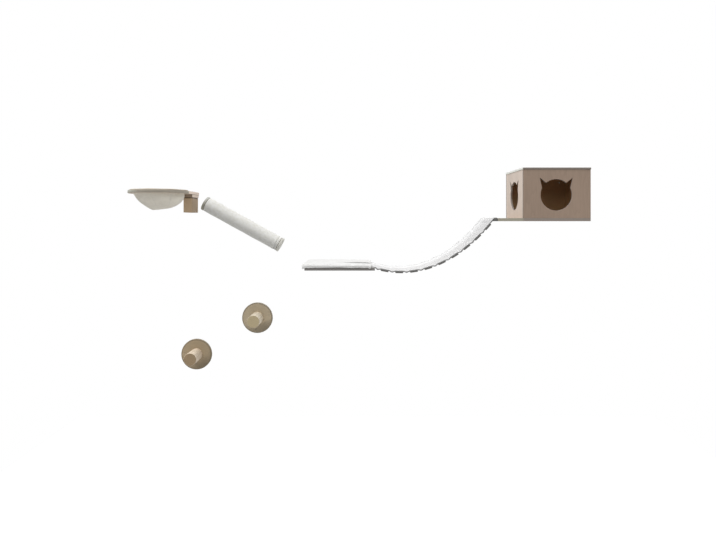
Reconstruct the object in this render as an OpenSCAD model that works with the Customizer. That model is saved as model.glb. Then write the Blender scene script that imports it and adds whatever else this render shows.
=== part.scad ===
// Cat climbing wall: a house with a porch, a hanging slat bridge, a cushioned platform,
// a hammock in a ring, a padded scratching post and two peg steps, all fixed to one wall.
// Millimetres. The wall is the plane y = 0 and the room lies towards -Y. X runs to the
// right, Z runs up, and the origin is the middle of the house's back, on the wall.

/* [House] */
// Width of the house across its front
house_w = 400; // [340:5:520]
// Depth of the house from the wall to its front face
house_d = 400; // [330:5:460]
// Height of the house's walls
house_h = 288; // [270:2:420]
// Thickness of the house's wall panels
wall_t = 12; // [9:1:18]
// Thickness of the roof panel
roof_t = 12; // [9:1:18]
// How far the roof stands out past the front and the sides
roof_over = 2; // [0:0.5:20]
// Thickness of the base panel
base_t = 18; // [15:1:24]
// Length of the porch, which is the part of the base beside the house
porch_l = 150; // [60:5:240]

/* [Cat doorways] */
// Radius of the head-shaped doorway in the front
front_door_r = 93; // [75:1:105]
// Radius of the head-shaped doorway in the left side
side_door_r = 88; // [70:1:105]
// How far the doorways' middle lies below the middle of the walls
door_drop = 6; // [0:1:15]
// How far the front doorway's middle lies left of the middle of the front
front_door_shift = 4; // [0:1:15]
// Height of an ear's tip past the round of the head
ear_rise = 47; // [25:1:50]
// Angle of an ear's tip above the horizontal
ear_tip_angle = 46; // [38:1:55]
// Angle of the middle of an ear's foot above the horizontal
ear_foot_angle = 38; // [32:1:46]
// Angle that one ear's foot takes up on the round of the head
ear_spread = 25; // [18:1:30]

/* [House joinery] */
// Diameter of the dowels
dowel_d = 6; // [5:1:7]
// Length of the dowels
dowel_l = 28; // [22:1:40]
// Distance between the two dowels in one joint
dowel_pitch = 200; // [120:5:230]
// Panel left over the blind end of a dowel hole
dowel_skin = 3; // [2:0.5:4]
// Diameter of the countersunk panel screws
panel_screw_d = 4; // [3:0.5:5]
// Length of the countersunk panel screws
panel_screw_l = 40; // [30:1:60]
// Distance between the two screws along one panel edge
panel_screw_pitch = 200; // [120:5:260]

/* [House wall fixing] */
// Distance between the wall holes across the back panel
house_fix_w = 300; // [200:5:310]
// Distance between the wall holes up the back panel
house_fix_h = 180; // [100:5:220]
// Diameter of the wall holes in the back panel
house_fix_d = 5.5; // [4:0.5:8]

/* [Platform] */
// Distance from the middle of the house to the middle of the platform
platform_x = 1297; // [1200:1:1500]
// Distance from the middle of the house down to the platform's top
platform_drop = 437; // [300:1:600]
// Width of the platform
platform_w = 400; // [340:5:500]
// Depth of the platform from the wall
platform_d = 400; // [330:5:460]
// Thickness of the platform's board
platform_t = 18; // [16:1:28]
// Radius of the board's free front corner
corner_r = 8; // [2:1:40]

/* [Platform cushion] */
// Height of the cushion's sides
cushion_h = 21; // [15:1:40]
// Height of the crown above the sides
cushion_crown = 5; // [1:1:12]
// How far the cushion stands out past the board's left end
cushion_over = 16; // [0:1:30]
// How far the sides are drawn in between the corners
cushion_draw = 4; // [0:0.5:10]
// How much the sides round inwards at the top and the bottom
cushion_round = 9; // [4:1:16]
// Extra height at the left end, as a fraction of the height
cushion_puff = 0.1; // [0:0.02:0.3]
// Distance from the wall to the seam across the right half of the top
cushion_seam_y = 315; // [200:5:325]
// Radius of the groove that the seam makes
cushion_seam_r = 2; // [1:0.5:4]
// Width of each hook-and-loop strip
strip_w = 20; // [10:1:40]
// Length of each hook-and-loop strip
strip_l = 300; // [150:5:310]
// Thickness of a closed hook-and-loop strip
strip_t = 1.5; // [1:0.5:3]
// Distance between the two hook-and-loop strips
strip_pitch = 240; // [120:5:300]

/* [Shelf brackets] */
// Thickness of both brackets' steel bars
bar_t = 4; // [3:0.5:6]
// Diameter of the brackets' rods
rod_d = 10; // [8:0.5:10.5]
// Diameter of the wall holes in the bars
bar_hole_d = 4.5; // [3.5:0.5:5]
// Length of the platform's bar
bar_l = 320; // [300:5:330]
// Height of the platform's bar
bar_h = 12; // [11:0.5:13]
// Length of the platform's rods in front of the bar
rod_l = 200; // [120:5:280]
// Distance between the platform's two rods
rod_pitch = 220; // [190:5:240]
// Distance between the outer wall holes in the platform's bar
bar_outer_pitch = 280; // [268:2:284]
// Distance between the inner wall holes in the platform's bar
bar_inner_pitch = 120; // [60:5:150]
// Length of the hammock's upright bar
upright_l = 66; // [64:1:80]
// Width of the hammock's upright bar
upright_w = 30; // [20:1:36]
// Length of the hammock's rods in front of the bar
upright_rod_l = 90; // [60:1:100]
// Distance between the hammock's two rods
upright_rod_pitch = 24; // [20:1:26]
// Distance between the two wall holes in the upright bar
upright_hole_pitch = 52; // [47:1:54]
// Distance from the block's underside to the upright bar
upright_rise = 6; // [4:1:10]

/* [Bridge] */
// Length that the hanging deck has beyond the straight line between its ends
deck_slack = 51; // [30:1:70]
// Thickness of the deck's cloth
deck_t = 3; // [2:0.5:4]
// How far the deck's sides lie inside the boards' sides
deck_inset = 20; // [5:1:60]
// Distance along the deck from each end to the middle of the nearest slat
slat_margin = 62; // [55:1:80]
// Width of a slat along the deck
slat_w = 46; // [30:1:52]
// Thickness of a slat
slat_t = 12; // [8:1:14]
// Radius on the long edges of a slat
slat_edge_r = 3; // [1:0.5:3.5]
// Thickness of the battens that carry the deck's ends
batten_t = 18; // [12:1:24]
// Number of screws in each batten
batten_screws = 4; // [2:1:6]
// Distance from a batten's end to its first screw
batten_screw_margin = 50; // [20:5:90]
// Diameter of the batten screws
batten_screw_d = 4; // [3:0.5:5]
// Length of the batten screws
batten_screw_l = 45; // [36:1:60]

/* [Hammock ring] */
// Distance from the middle of the house to the middle of the ring
ring_x = 2410; // [2200:5:2600]
// Distance from the wall to the middle of the ring
ring_y = 250; // [235:1:300]
// Height of the ring's underside above the middle of the house
ring_z = 8; // [-150:1:200]
// Outer radius of the ring
ring_r = 181; // [178:1:195]
// Radius of the ring's hole
ring_hole_r = 150; // [130:1:153]
// Thickness of the ring's board
ring_t = 18; // [15:1:24]
// How far the ring's pad stands out past the block on each side
pad_margin = 8; // [2:1:20]
// Diameter of the two screws through the pad
ring_screw_d = 5; // [4:0.5:6]
// Length of the two screws through the pad
ring_screw_l = 60; // [50:1:64]

/* [Hammock block] */
// Distance from the middle of the ring to the middle of the block
block_x = 145; // [135:1:155]
// Width of the block
block_w = 52; // [40:1:60]
// Length of the block from the wall
block_d = 145; // [115:1:150]
// Height of the block
block_h = 97; // [96:1:140]
// Thickness of the packing piece between the ring and the block
packer_t = 18; // [12:1:24]
// How far the packing piece stands out past the block on each side
packer_margin = 4; // [0:1:6]

/* [Hammock bag] */
// Thickness of the bag's cloth
cloth_t = 2; // [1:0.5:3]
// Width of the cloth that lies on the ring
flange_w = 22; // [16:1:24]
// Radius of the bag's flat bottom
bag_floor_r = 65; // [40:1:90]
// Distance from the ring's underside to the middle of the bag's bottom
bag_depth = 93; // [60:1:140]
// How far the bag's bottom lies right of the ring's middle
bag_shift = 20; // [0:1:25]
// Height of the bottom's rim above or below its middle, left low and right high
bag_tilt = 8; // [0:1:15]
// How far the left side bellies out
bag_belly_left = 13; // [0:1:20]
// How far the right side bellies out
bag_belly_right = 21; // [0:1:25]
// Number of snap fasteners
snap_count = 8; // [4:1:12]
// Diameter of a snap's cap
snap_d = 12; // [8:1:14]
// Height of a snap's cap
snap_h = 3; // [2:0.5:4]
// Diameter of a snap's post
snap_post_d = 4; // [3:0.5:5]
// Depth of a snap's post in the ring
snap_post_l = 9; // [6:1:11]

/* [Scratching post] */
// Distance from the middle of the house to the middle of the post
post_x = 1928; // [1850:1:1960]
// Distance from the middle of the house down to the middle of the post
post_drop = 182; // [120:1:300]
// Length of the post
post_l = 568; // [530:2:600]
// Diameter of the post over its sleeve
post_d = 94; // [86:1:110]
// Slope of the post down to the right, in degrees
post_tilt = 28.9; // [20:0.1:40]
// Gap between the post and the wall
post_gap = 20; // [16:1:40]
// Thickness of the sleeve
sleeve_t = 3; // [2:0.5:5]
// Thickness of the sleeve's hems, where its ends are drawn in
hem_t = 1; // [0.5:0.5:1.5]
// Length over which the sleeve's ends are drawn in
hem_l = 12; // [5:1:30]
// Thickness of the core's wall
core_t = 6; // [4:0.5:10]
// Thickness of an end cap
cap_t = 15; // [10:1:25]
// Groove between an end cap and the sleeve
cap_groove = 3; // [1:0.5:6]
// Length of an end cap's plug inside the core
plug_l = 25; // [15:1:40]

/* [Post blocks] */
// Distance between the two blocks along the post
post_block_pitch = 380; // [280:5:390]
// Length of a block along the post
post_block_l = 60; // [54:1:90]
// Width of a block across the post
post_block_w = 54; // [40:1:60]
// How far a block's sides reach round the post
saddle_rise = 6; // [2:1:7]
// Distance between a block's two wall holes
post_hole_pitch = 40; // [34:1:44]
// Diameter of the wall holes
post_hole_d = 5.5; // [4.5:0.5:6]
// Diameter of the recess for a wall screw's head
post_recess_d = 11; // [9:0.5:13]
// Depth of the recess for a wall screw's head
post_recess_l = 5; // [3:0.5:8]
// Diameter of the bolt that holds the post to a block
post_bolt_d = 8; // [6:1:10]
// Wood left behind the bolt's tip
post_bolt_skin = 4; // [2:0.5:6]
// Diameter of the washer under the bolt's head
washer_d = 24; // [20:1:30]
// Thickness of the washer
washer_t = 2; // [1:0.5:3]

/* [Steps] */
// Distance from the middle of the house to the upper step
step_upper_x = 1844; // [1700:1:1950]
// Distance from the middle of the house down to the upper step
step_upper_drop = 800; // [700:1:900]
// Distance from the middle of the house to the lower step
step_lower_x = 2245; // [2150:1:2400]
// Distance from the middle of the house down to the lower step
step_lower_drop = 1040; // [950:1:1200]
// Diameter of a step's disc
disc_d = 200; // [180:2:240]
// Thickness of a step's disc
disc_t = 18; // [15:1:24]
// Diameter of a step's peg
peg_d = 80; // [72:1:100]
// Length of a step's peg
peg_l = 145; // [100:1:200]
// Bevel on the front edges of the disc and the peg
step_bevel = 2; // [1:0.5:5]
// Diameter of the circle of wall holes, which the peg covers
disc_hole_circle = 50; // [44:1:56]
// Number of wall holes
disc_holes = 4; // [3:1:6]
// Diameter of the wall holes
disc_hole_d = 5.5; // [4:0.5:7]
// Diameter of the bolt between the disc and the peg
step_bolt_d = 10; // [8:1:12]
// Length of the bolt under its head
step_bolt_l = 60; // [40:1:80]
// Depth of the recess for the bolt's head
step_recess_l = 8; // [7.5:0.5:9]

/* [Fits] */
// Gap round a screw, dowel, bolt or plug in its hole
fit = 0.1; // [0.05:0.05:0.2]
// Gap under a bent or soft piece that is stretched over another
seat = 0.1; // [0.05:0.05:0.3]
// Gap round a loose or curved piece
clear = 0.3; // [0.2:0.1:0.5]
// Gap between the deck's strips, which swing past each other
strip_gap = 0.4; // [0.3:0.1:1]

/* [Hidden] */
$fn = 96;
// Number of slats, which is also the number of moving groups in the bridge
slats = 9;
// How far a cut runs past the face that it opens
over = 1;
// Width across corners of a hexagon head, and its height as a share of the bolt's diameter
function hex_corners(d) = 1.7 * d / cos(30);
hex_height = 0.64;
// Room for a socket round a bolt's head
socket_room = 3;
// How far inside the ring's round its straight sides begin, so that the two shapes merge
ring_merge = 0.5;
// How far an ear's sides are carried into the round of the head, for the same reason
ear_merge = 10;
// Fineness of the cushion and the bag, and how square the cushion's plan is
cushion_sides = 64;
cushion_squareness = 9;
bag_sides = 36;
bag_steps = 6;
wall_x = (house_w - wall_t) / 2;
platform_left = -platform_x - platform_w / 2;
platform_right = -platform_x + platform_w / 2;
platform_mid_z = -platform_drop - platform_t / 2;
base_mid_z = -(house_h + base_t) / 2;
porch_left = -house_w / 2 - porch_l;
cushion_seam_top = cushion_h + cushion_crown - platform_drop;
birch = [0.82, 0.76, 0.66];
pine = [0.76, 0.68, 0.55];
cream = [0.93, 0.92, 0.9];
canvas = [0.78, 0.76, 0.71];
steel = [0.66, 0.67, 0.69];

// Box between two corners
module box(low, high) {
    translate(low) cube(high - low);
}

// Cylinder along Y between two depths, with its axis at a place on the wall
module along_y(x, z, d, y_low, y_high) {
    translate([x, y_low, z]) rotate([-90, 0, 0]) cylinder(d = d, h = y_high - y_low);
}

// Countersunk screw with its head flush at z = 0 and its tip down
module screw(d, l) {
    rotate_extrude() polygon([[0, 0], [d, 0], [d / 2, -d / 2], [d / 2, d - l], [0, -l]]);
}

// Countersunk hole for that screw
module screw_hole(d, l) {
    rotate_extrude() polygon([
        [0, over], [d + fit, over], [d + fit, 0], [d / 2 + fit, -d / 2],
        [d / 2 + fit, -l - fit], [0, -l - fit]]);
}

// Countersunk hole right through a board, for a screw into the wall
module wall_hole(d, l) {
    rotate_extrude() polygon([
        [0, over], [d, over], [d, 0], [d / 2, -d / 2], [d / 2, -l - over], [0, -l - over]]);
}

// Hexagon head that stands on z = 0
module hex_head(d) {
    cylinder(d = hex_corners(d), h = hex_height * d, $fn = 6);
}

// Closed skin through a stack of rings of points, with one point at each end
module skin(rings, first_point, last_point) {
    n = len(rings[0]);
    last = (len(rings) - 1) * n;
    points = concat([for (ring = rings) each ring], [first_point, last_point]);
    sides = [for (a = [0:n:last - n], i = [0:n - 1]) let (p = a + i, q = a + (i + 1) % n)
        each [[p, p + n, q + n], [p, q + n, q]]];
    ends = [for (i = [0:n - 1]) let (next = (i + 1) % n)
        each [[last + n, i, next], [last + n + 1, last + next, last + i]]];
    polyhedron(points, concat(sides, ends));
}

// Round head with two pointed ears, standing on z = 0 about the middle of the head
module cat_head(r, h) {
    cylinder(r = r, h = h);
    for (side = [-1, 1]) {
        tip = (r + ear_rise) * [side * cos(ear_tip_angle), sin(ear_tip_angle)];
        feet = [for (s = [-1, 1]) let (a = ear_foot_angle + s * ear_spread / 2)
            r * [side * cos(a), sin(a)]];
        linear_extrude(h)
            polygon(concat([tip], [for (foot = feet) foot + ear_merge * (foot - tip) / norm(foot - tip)]));
    }
}

// Places in plan of the screws that go up and down into the walls of the house
panel_screw_places = concat(
    [for (x = [-wall_x, wall_x], s = [-1, 1]) [x, -house_d / 2 + s * panel_screw_pitch / 2]],
    [for (y = [wall_t / 2 - house_d, -wall_t / 2], s = [-1, 1]) [s * panel_screw_pitch / 2, y]]);

module at_panel_screws() {
    for (p = panel_screw_places) {
        translate([p[0], p[1], house_h / 2 + roof_t]) children();
        translate([p[0], p[1], -house_h / 2 - base_t]) rotate([180, 0, 0]) children();
    }
}

module panel_screw_holes() {
    at_panel_screws() screw_hole(panel_screw_d, panel_screw_l);
}

// Dowels from the side panels into the front and back panels, grown to make their holes
module dowels(grow = 0) {
    for (x = [-wall_x, wall_x], s = [-1, 1], y = [dowel_skin - house_d, -dowel_skin - dowel_l]) {
        along_y(x, s * dowel_pitch / 2, dowel_d + 2 * grow, y - grow, y + dowel_l + grow);
    }
}

// Places of the screws through a batten into the edge of its board
module at_batten_screws(x, z, depth, turn) {
    step = (depth - 2 * batten_screw_margin) / (batten_screws - 1);
    for (i = [0:batten_screws - 1]) {
        translate([x, -batten_screw_margin - i * step, z]) rotate([0, turn, 0]) children();
    }
}

module at_platform_batten_screws() {
    at_batten_screws(deck_from[0], platform_mid_z, platform_d, 90) children();
}

module at_house_batten_screws() {
    at_batten_screws(deck_to[0], base_mid_z, house_d, -90) children();
}

module house_base_panel() {
    color(birch) difference() {
        box([porch_left, -house_d, -house_h / 2 - base_t], [house_w / 2, 0, -house_h / 2]);
        panel_screw_holes();
        at_house_batten_screws() screw_hole(batten_screw_d, batten_screw_l);
    }
}

module house_back_panel() {
    color(birch) difference() {
        box([-house_w / 2, -wall_t, -house_h / 2], [house_w / 2, 0, house_h / 2]);
        panel_screw_holes();
        dowels(fit);
        for (sx = [-1, 1], sz = [-1, 1]) {
            along_y(sx * house_fix_w / 2, sz * house_fix_h / 2, house_fix_d, -wall_t - over, over);
        }
    }
}

module house_front_panel() {
    color(birch) difference() {
        box([-house_w / 2, -house_d, -house_h / 2], [house_w / 2, wall_t - house_d, house_h / 2]);
        translate([-front_door_shift, wall_t - house_d + over, -door_drop]) rotate([90, 0, 0])
            cat_head(front_door_r, wall_t + 2 * over);
        panel_screw_holes();
        dowels(fit);
    }
}

// Side panel between the front and back panels, on the left (-1) or the right (1)
module house_side(side) {
    translate([side * wall_x, 0, 0])
        box([-wall_t / 2, wall_t - house_d, -house_h / 2], [wall_t / 2, -wall_t, house_h / 2]);
}

module house_left_panel() {
    color(birch) difference() {
        house_side(-1);
        translate([-house_w / 2 - over, -house_d / 2, -door_drop]) rotate([90, 0, 90])
            cat_head(side_door_r, wall_t + 2 * over);
        panel_screw_holes();
        dowels(fit);
    }
}

module house_right_panel() {
    color(birch) difference() {
        house_side(1);
        panel_screw_holes();
        dowels(fit);
    }
}

module house_roof_panel() {
    color(birch) difference() {
        box([-house_w / 2 - roof_over, -house_d - roof_over, house_h / 2],
            [house_w / 2 + roof_over, 0, house_h / 2 + roof_t]);
        panel_screw_holes();
    }
}

module house_dowels() {
    color(pine) dowels();
}

module house_panel_screws() {
    color(steel) at_panel_screws() screw(panel_screw_d, panel_screw_l);
}

// Plan of the platform's board, with its free front corner rounded
module platform_plan() {
    translate([platform_left, -platform_d]) difference() {
        square([platform_w, platform_d]);
        difference() {
            translate([-over, -over]) square(corner_r + over);
            translate([corner_r, corner_r]) circle(corner_r);
        }
    }
}

// Steel bar along X with two rods, grown to make the rebate and the bores in what it carries
module bar_and_rods(l, h, pitch, reach, grow) {
    box([-l / 2 - grow, -bar_t - grow, -h / 2 - grow], [l / 2 + grow, grow, h / 2 + grow]);
    for (s = [-1, 1]) {
        along_y(s * pitch / 2, 0, rod_d + 2 * grow, -bar_t - reach - grow, -bar_t / 2);
    }
}

// Countersunk wall holes through a bar, in pairs about its middle
module bar_holes(pitches) {
    for (pitch = pitches, s = [-1, 1]) {
        translate([s * pitch / 2, -bar_t, 0]) rotate([90, 0, 0]) wall_hole(bar_hole_d, bar_t);
    }
}

module on_platform_bracket() {
    translate([-platform_x, 0, platform_mid_z]) children();
}

module platform_bracket_shape(grow = 0) {
    on_platform_bracket() bar_and_rods(bar_l, bar_h, rod_pitch, rod_l, grow);
}

module platform_board() {
    color(birch) difference() {
        translate([0, 0, -platform_drop - platform_t]) linear_extrude(platform_t) platform_plan();
        platform_bracket_shape(clear);
        at_platform_batten_screws() screw_hole(batten_screw_d, batten_screw_l);
    }
}

module platform_shelf_bracket() {
    color(steel) difference() {
        platform_bracket_shape();
        on_platform_bracket() bar_holes([bar_outer_pitch, bar_inner_pitch]);
    }
}

// Hook-and-loop strips on the board, grown to make their recess under the cushion
module hook_strips(grow = 0) {
    for (s = [-1, 1]) {
        translate([s * strip_pitch / 2 - platform_x, -platform_d / 2, -platform_drop])
            box([-strip_w / 2 - grow, -strip_l / 2 - grow, 0],
                [strip_w / 2 + grow, strip_l / 2 + grow, strip_t + grow]);
    }
}

module platform_hook_strips() {
    color("dimgray") hook_strips();
}

// Cushion: half sizes in plan, and rings of points from its underside up to its crown
cushion_half = [(platform_w + cushion_over) / 2 - clear, platform_d / 2 - clear];
cushion_mid = [(platform_left - cushion_over + platform_right) / 2, -platform_d / 2];

// Distance from the middle at one angle, with rounded corners and drawn-in sides
function cushion_reach(a) =
    (1 - cushion_draw / cushion_half[0] * (1 + cos(4 * a)) / 2)
    / pow(pow(abs(cos(a)), cushion_squareness) + pow(abs(sin(a)), cushion_squareness),
          1 / cushion_squareness);

function cushion_point(a, size, z) =
    let (reach = cushion_reach(a), x = size * reach * cos(a))
    [x * cushion_half[0], size * reach * cushion_half[1] * sin(a), z * (1 - cushion_puff * x)];

function cushion_ring(size, z) =
    [for (i = [0:cushion_sides - 1]) cushion_point(360 * i / cushion_sides, size, z)];

cushion_rim = 1 - cushion_round / cushion_half[0];
cushion_rings = concat(
    [for (t = [-90:30:90])
        cushion_ring(1 - (1 - cos(t)) * (1 - cushion_rim), cushion_h * (1 + sin(t)) / 2)],
    [for (s = [0.8, 0.6, 0.4, 0.2])
        cushion_ring(s * cushion_rim, cushion_h + cushion_crown * (1 - s * s))]);

module platform_cushion() {
    color(cream) difference() {
        translate([cushion_mid[0], cushion_mid[1], clear - platform_drop])
            skin(cushion_rings, [0, 0, 0], [0, 0, cushion_h + cushion_crown]);
        hook_strips(clear);
        translate([cushion_mid[0], -cushion_seam_y, cushion_seam_top])
            rotate([0, 90, 0]) cylinder(r = cushion_seam_r, h = cushion_half[0]);
    }
}

// Curve in which the deck hangs between the battens' inner top edges
function sinh(x) = (exp(x) - exp(-x)) / 2;
function cosh(x) = (exp(x) + exp(-x)) / 2;
function asinh(x) = ln(x + sqrt(x * x + 1));
function atanh(x) = ln((1 + x) / (1 - x)) / 2;

// Value u at which sinh(u) / u is a given ratio, found by halving an interval
function solve_hang(ratio, low = 0.001, high = 8, turns = 50) =
    let (u = (low + high) / 2)
    turns == 0 ? u
    : sinh(u) / u < ratio ? solve_hang(ratio, u, high, turns - 1)
    : solve_hang(ratio, low, u, turns - 1);

deck_from = [platform_right + batten_t, -platform_drop];
deck_to = [porch_left - batten_t, -house_h / 2];
deck_chord = deck_to - deck_from;
deck_l = norm(deck_chord) + deck_slack;
hang_u = solve_hang(sqrt(deck_l * deck_l - deck_chord[1] * deck_chord[1]) / deck_chord[0]);
hang_scale = deck_chord[0] / (2 * hang_u);
hang_low = deck_chord[0] / 2 - hang_scale * atanh(deck_chord[1] / deck_l);

// Point of the hanging curve at a distance along the deck
function hang_point(s) =
    let (x = hang_low + hang_scale * asinh(s / hang_scale - sinh(hang_low / hang_scale)))
    deck_from + [x, hang_scale * (cosh((x - hang_low) / hang_scale) - cosh(hang_low / hang_scale))];

// Ends of slat k along the deck, where the deck bends
slat_pitch = (deck_l - 2 * slat_margin) / (slats - 1);
function slat_middle(k) = slat_margin + (k - 1) * slat_pitch;
function slat_start(k) = k > slats ? deck_to : hang_point(slat_middle(k) - slat_w / 2);
function slat_end(k) = k < 1 ? deck_from : hang_point(slat_middle(k) + slat_w / 2);

// Line moved to its upper side by a distance, with its corners kept parallel
function across(a, b) = [a[1] - b[1], b[0] - a[0]] / norm(b - a);
function raised_point(line, i, t) =
    let (before = across(line[max(i - 1, 0)], line[max(i, 1)]),
         after = across(line[min(i, len(line) - 2)], line[min(i + 1, len(line) - 1)]))
    line[i] + (before + after) * t / (1 + before * after);
function raised(line, t) = [for (i = [0:len(line) - 1]) raised_point(line, i, t)];

// Distance along the chord of the plane between slat k and the next one
chord_dir = deck_chord / norm(deck_chord);
function swing_plane(k) = ((slat_end(k) + slat_start(k + 1)) / 2 - deck_from) * chord_dir;

// Section of the deck above a line, between two planes square to the chord
module deck_section(line, low, high) {
    top = raised(line, seat + deck_t);
    intersection() {
        polygon(concat(raised(line, seat), [for (i = [len(line) - 1:-1:0]) top[i]]));
        translate(deck_from) rotate(atan2(deck_chord[1], deck_chord[0]))
            translate([low, -deck_l]) square([high - low, 2 * deck_l]);
    }
}

// Section in the wall's plane carried across the bridge's width
module across_bridge() {
    board_d = min(platform_d, house_d);
    translate([0, -deck_inset, 0]) rotate([90, 0, 0])
        linear_extrude(board_d - 2 * deck_inset) children();
}

// Bar section with rounded long edges
module bar_section(w, t, r) {
    square([w - 2 * r, t], center = true);
    square([w, t - 2 * r], center = true);
    for (sx = [-1, 1], sy = [-1, 1]) {
        translate([sx * (w / 2 - r), sy * (t / 2 - r)]) circle(r);
    }
}

module bridge_platform_batten() {
    color(birch) difference() {
        box([platform_right, -platform_d, -platform_drop - platform_t], [deck_from[0], 0, -platform_drop]);
        at_platform_batten_screws() screw_hole(batten_screw_d, batten_screw_l);
    }
}

module bridge_house_batten() {
    color(birch) difference() {
        box([deck_to[0], -house_d, -house_h / 2 - base_t], [porch_left, 0, -house_h / 2]);
        at_house_batten_screws() screw_hole(batten_screw_d, batten_screw_l);
    }
}

module bridge_batten_screws() {
    color(steel) at_platform_batten_screws() screw(batten_screw_d, batten_screw_l);
    color(steel) at_house_batten_screws() screw(batten_screw_d, batten_screw_l);
}

module bridge_deck_platform_end() {
    line = [[platform_right + clear, -platform_drop], deck_from, slat_start(1)];
    color(cream) across_bridge() deck_section(line, -2 * batten_t, swing_plane(0) - strip_gap / 2);
}

module bridge_deck_house_end() {
    line = [slat_end(slats), deck_to, [porch_left - clear, -house_h / 2]];
    color(cream) across_bridge()
        deck_section(line, swing_plane(slats) + strip_gap / 2, norm(deck_chord) + 2 * batten_t);
}

module bridge_slat(k) {
    a = slat_start(k);
    b = slat_end(k);
    color(pine) across_bridge() translate((a + b) / 2) rotate(atan2(b[1] - a[1], b[0] - a[0]))
        translate([0, -slat_t / 2]) bar_section(slat_w, slat_t, slat_edge_r);
}

module bridge_deck(k) {
    line = [slat_end(k - 1), slat_start(k), slat_end(k), slat_start(k + 1)];
    color(cream) across_bridge()
        deck_section(line, swing_plane(k - 1) + strip_gap / 2, swing_plane(k) - strip_gap / 2);
}

// Board of the ring: a round whose back runs straight to a pad over the block
ring_mid = [-ring_x, -ring_y];
block_mid_x = block_x - ring_x;
block_top = ring_z - packer_t;
pad_half = block_w / 2 + pad_margin;

// Point just inside the round where the line from a corner of the pad leaves it, on one side
function leave_point(corner, side) =
    let (r = ring_r - ring_merge, d = corner - ring_mid,
         a = atan2(d[1], d[0]) + side * acos(r / norm(d)))
    ring_mid + r * [cos(a), sin(a)];

module ring_board() {
    left = [block_mid_x - pad_half, 0];
    right = [block_mid_x + pad_half, 0];
    translate([-ring_x, -ring_y, 0]) cylinder(r = ring_r, h = ring_t);
    linear_extrude(ring_t)
        polygon([ring_mid, leave_point(left, 1), left, right, leave_point(right, -1)]);
}

// Places of the screws through the pad, at the quarters of the block's length
module at_ring_screws() {
    for (share = [1, 3]) {
        translate([block_mid_x, -share * block_d / 4, ring_z + ring_t]) children();
    }
}

module at_snaps() {
    for (i = [0:snap_count - 1]) {
        translate([-ring_x, -ring_y, ring_z + ring_t]) rotate(360 * (i + 1 / 2) / snap_count)
            translate([ring_hole_r + flange_w / 2, 0, 0]) children();
    }
}

module hammock_ring() {
    color(birch) difference() {
        translate([0, 0, ring_z]) ring_board();
        translate([-ring_x, -ring_y, ring_z - over])
            cylinder(r = ring_hole_r, h = ring_t + 2 * over);
        at_ring_screws() screw_hole(ring_screw_d, ring_screw_l);
        at_snaps() translate([0, 0, -snap_post_l - fit])
            cylinder(d = snap_post_d + 2 * fit, h = snap_post_l + fit + over);
    }
}

// Piece from the wall under the ring's pad, between two heights, without its screw holes
module under_pad(w, bottom, top) {
    difference() {
        box([block_mid_x - w / 2, -block_d, bottom], [block_mid_x + w / 2, 0, top]);
        at_ring_screws() screw_hole(ring_screw_d, ring_screw_l);
    }
}

module hammock_packer() {
    color(birch) under_pad(block_w + 2 * packer_margin, block_top, ring_z);
}

module on_hammock_bracket() {
    translate([block_mid_x, 0, block_top - block_h + upright_rise + upright_l / 2])
        rotate([0, 90, 0]) children();
}

module hammock_bracket_shape(grow = 0) {
    on_hammock_bracket()
        bar_and_rods(upright_l, upright_w, upright_rod_pitch, upright_rod_l, grow);
}

module hammock_block() {
    color(pine) difference() {
        under_pad(block_w, block_top - block_h, block_top);
        hammock_bracket_shape(clear);
    }
}

module hammock_wall_bracket() {
    color(steel) difference() {
        hammock_bracket_shape();
        on_hammock_bracket() bar_holes([upright_hole_pitch]);
    }
}

module hammock_ring_screws() {
    color(steel) at_ring_screws() screw(ring_screw_d, ring_screw_l);
}

// Snap fastener: a bevelled cap on the cloth and a post down into the ring
module hammock_snaps() {
    under = cloth_t + 2 * seat;
    color(steel) at_snaps() translate([0, 0, under]) rotate_extrude() polygon([
        [0, snap_h], [(snap_d - snap_h) / 2, snap_h], [snap_d / 2, snap_h / 2], [snap_d / 2, 0],
        [snap_post_d / 2, 0], [snap_post_d / 2, -under - snap_post_l], [0, -under - snap_post_l]]);
}

// Point of the bag's side at an angle, from the ring's underside (0) to the floor's rim (1)
bag_rim_r = ring_hole_r - clear;
function bag_side(a, t, inner) =
    let (belly = bag_belly_left + (bag_belly_right - bag_belly_left) * (1 + cos(a)) / 2,
         r = bag_rim_r + (bag_floor_r - bag_rim_r) * t + belly * sin(180 * t) - inner,
         z = ring_z + t * (bag_tilt * cos(a) - bag_depth))
    [r * cos(a) + bag_shift * t, r * sin(a), z + inner];

function round_ring(r, z) = [for (a = bag_angles) [r * cos(a), r * sin(a), z]];
bag_angles = [for (i = [0:bag_sides - 1]) 360 * i / bag_sides];
bag_top = ring_z + ring_t + seat;
bag_rings = concat(
    [for (i = [bag_steps:-1:0]) [for (a = bag_angles) bag_side(a, i / bag_steps, 0)]],
    [round_ring(bag_rim_r, bag_top), round_ring(ring_hole_r + flange_w, bag_top)],
    [round_ring(ring_hole_r + flange_w, bag_top + cloth_t)],
    [round_ring(bag_rim_r - cloth_t, bag_top + cloth_t)],
    [for (i = [0:bag_steps]) [for (a = bag_angles) bag_side(a, i / bag_steps, cloth_t)]]);

module hammock_bag() {
    floor_z = ring_z - bag_depth;
    color(canvas) difference() {
        translate([-ring_x, -ring_y, 0])
            skin(bag_rings, [bag_shift, 0, floor_z], [bag_shift, 0, floor_z + cloth_t]);
        at_snaps() cylinder(d = snap_post_d + 2 * clear, h = seat + cloth_t + over);
    }
}

// Frame of the post: X along its axis down to the right, Y towards the wall
post_out = post_gap + post_d / 2;
module on_post() {
    translate([-post_x, -post_out, -post_drop]) rotate([0, post_tilt, 0]) children();
}

// Places of the two blocks along the post
module at_blocks() {
    on_post() for (s = [-1, 1]) {
        translate([s * post_block_pitch / 2, 0, 0]) children();
    }
}

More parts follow.
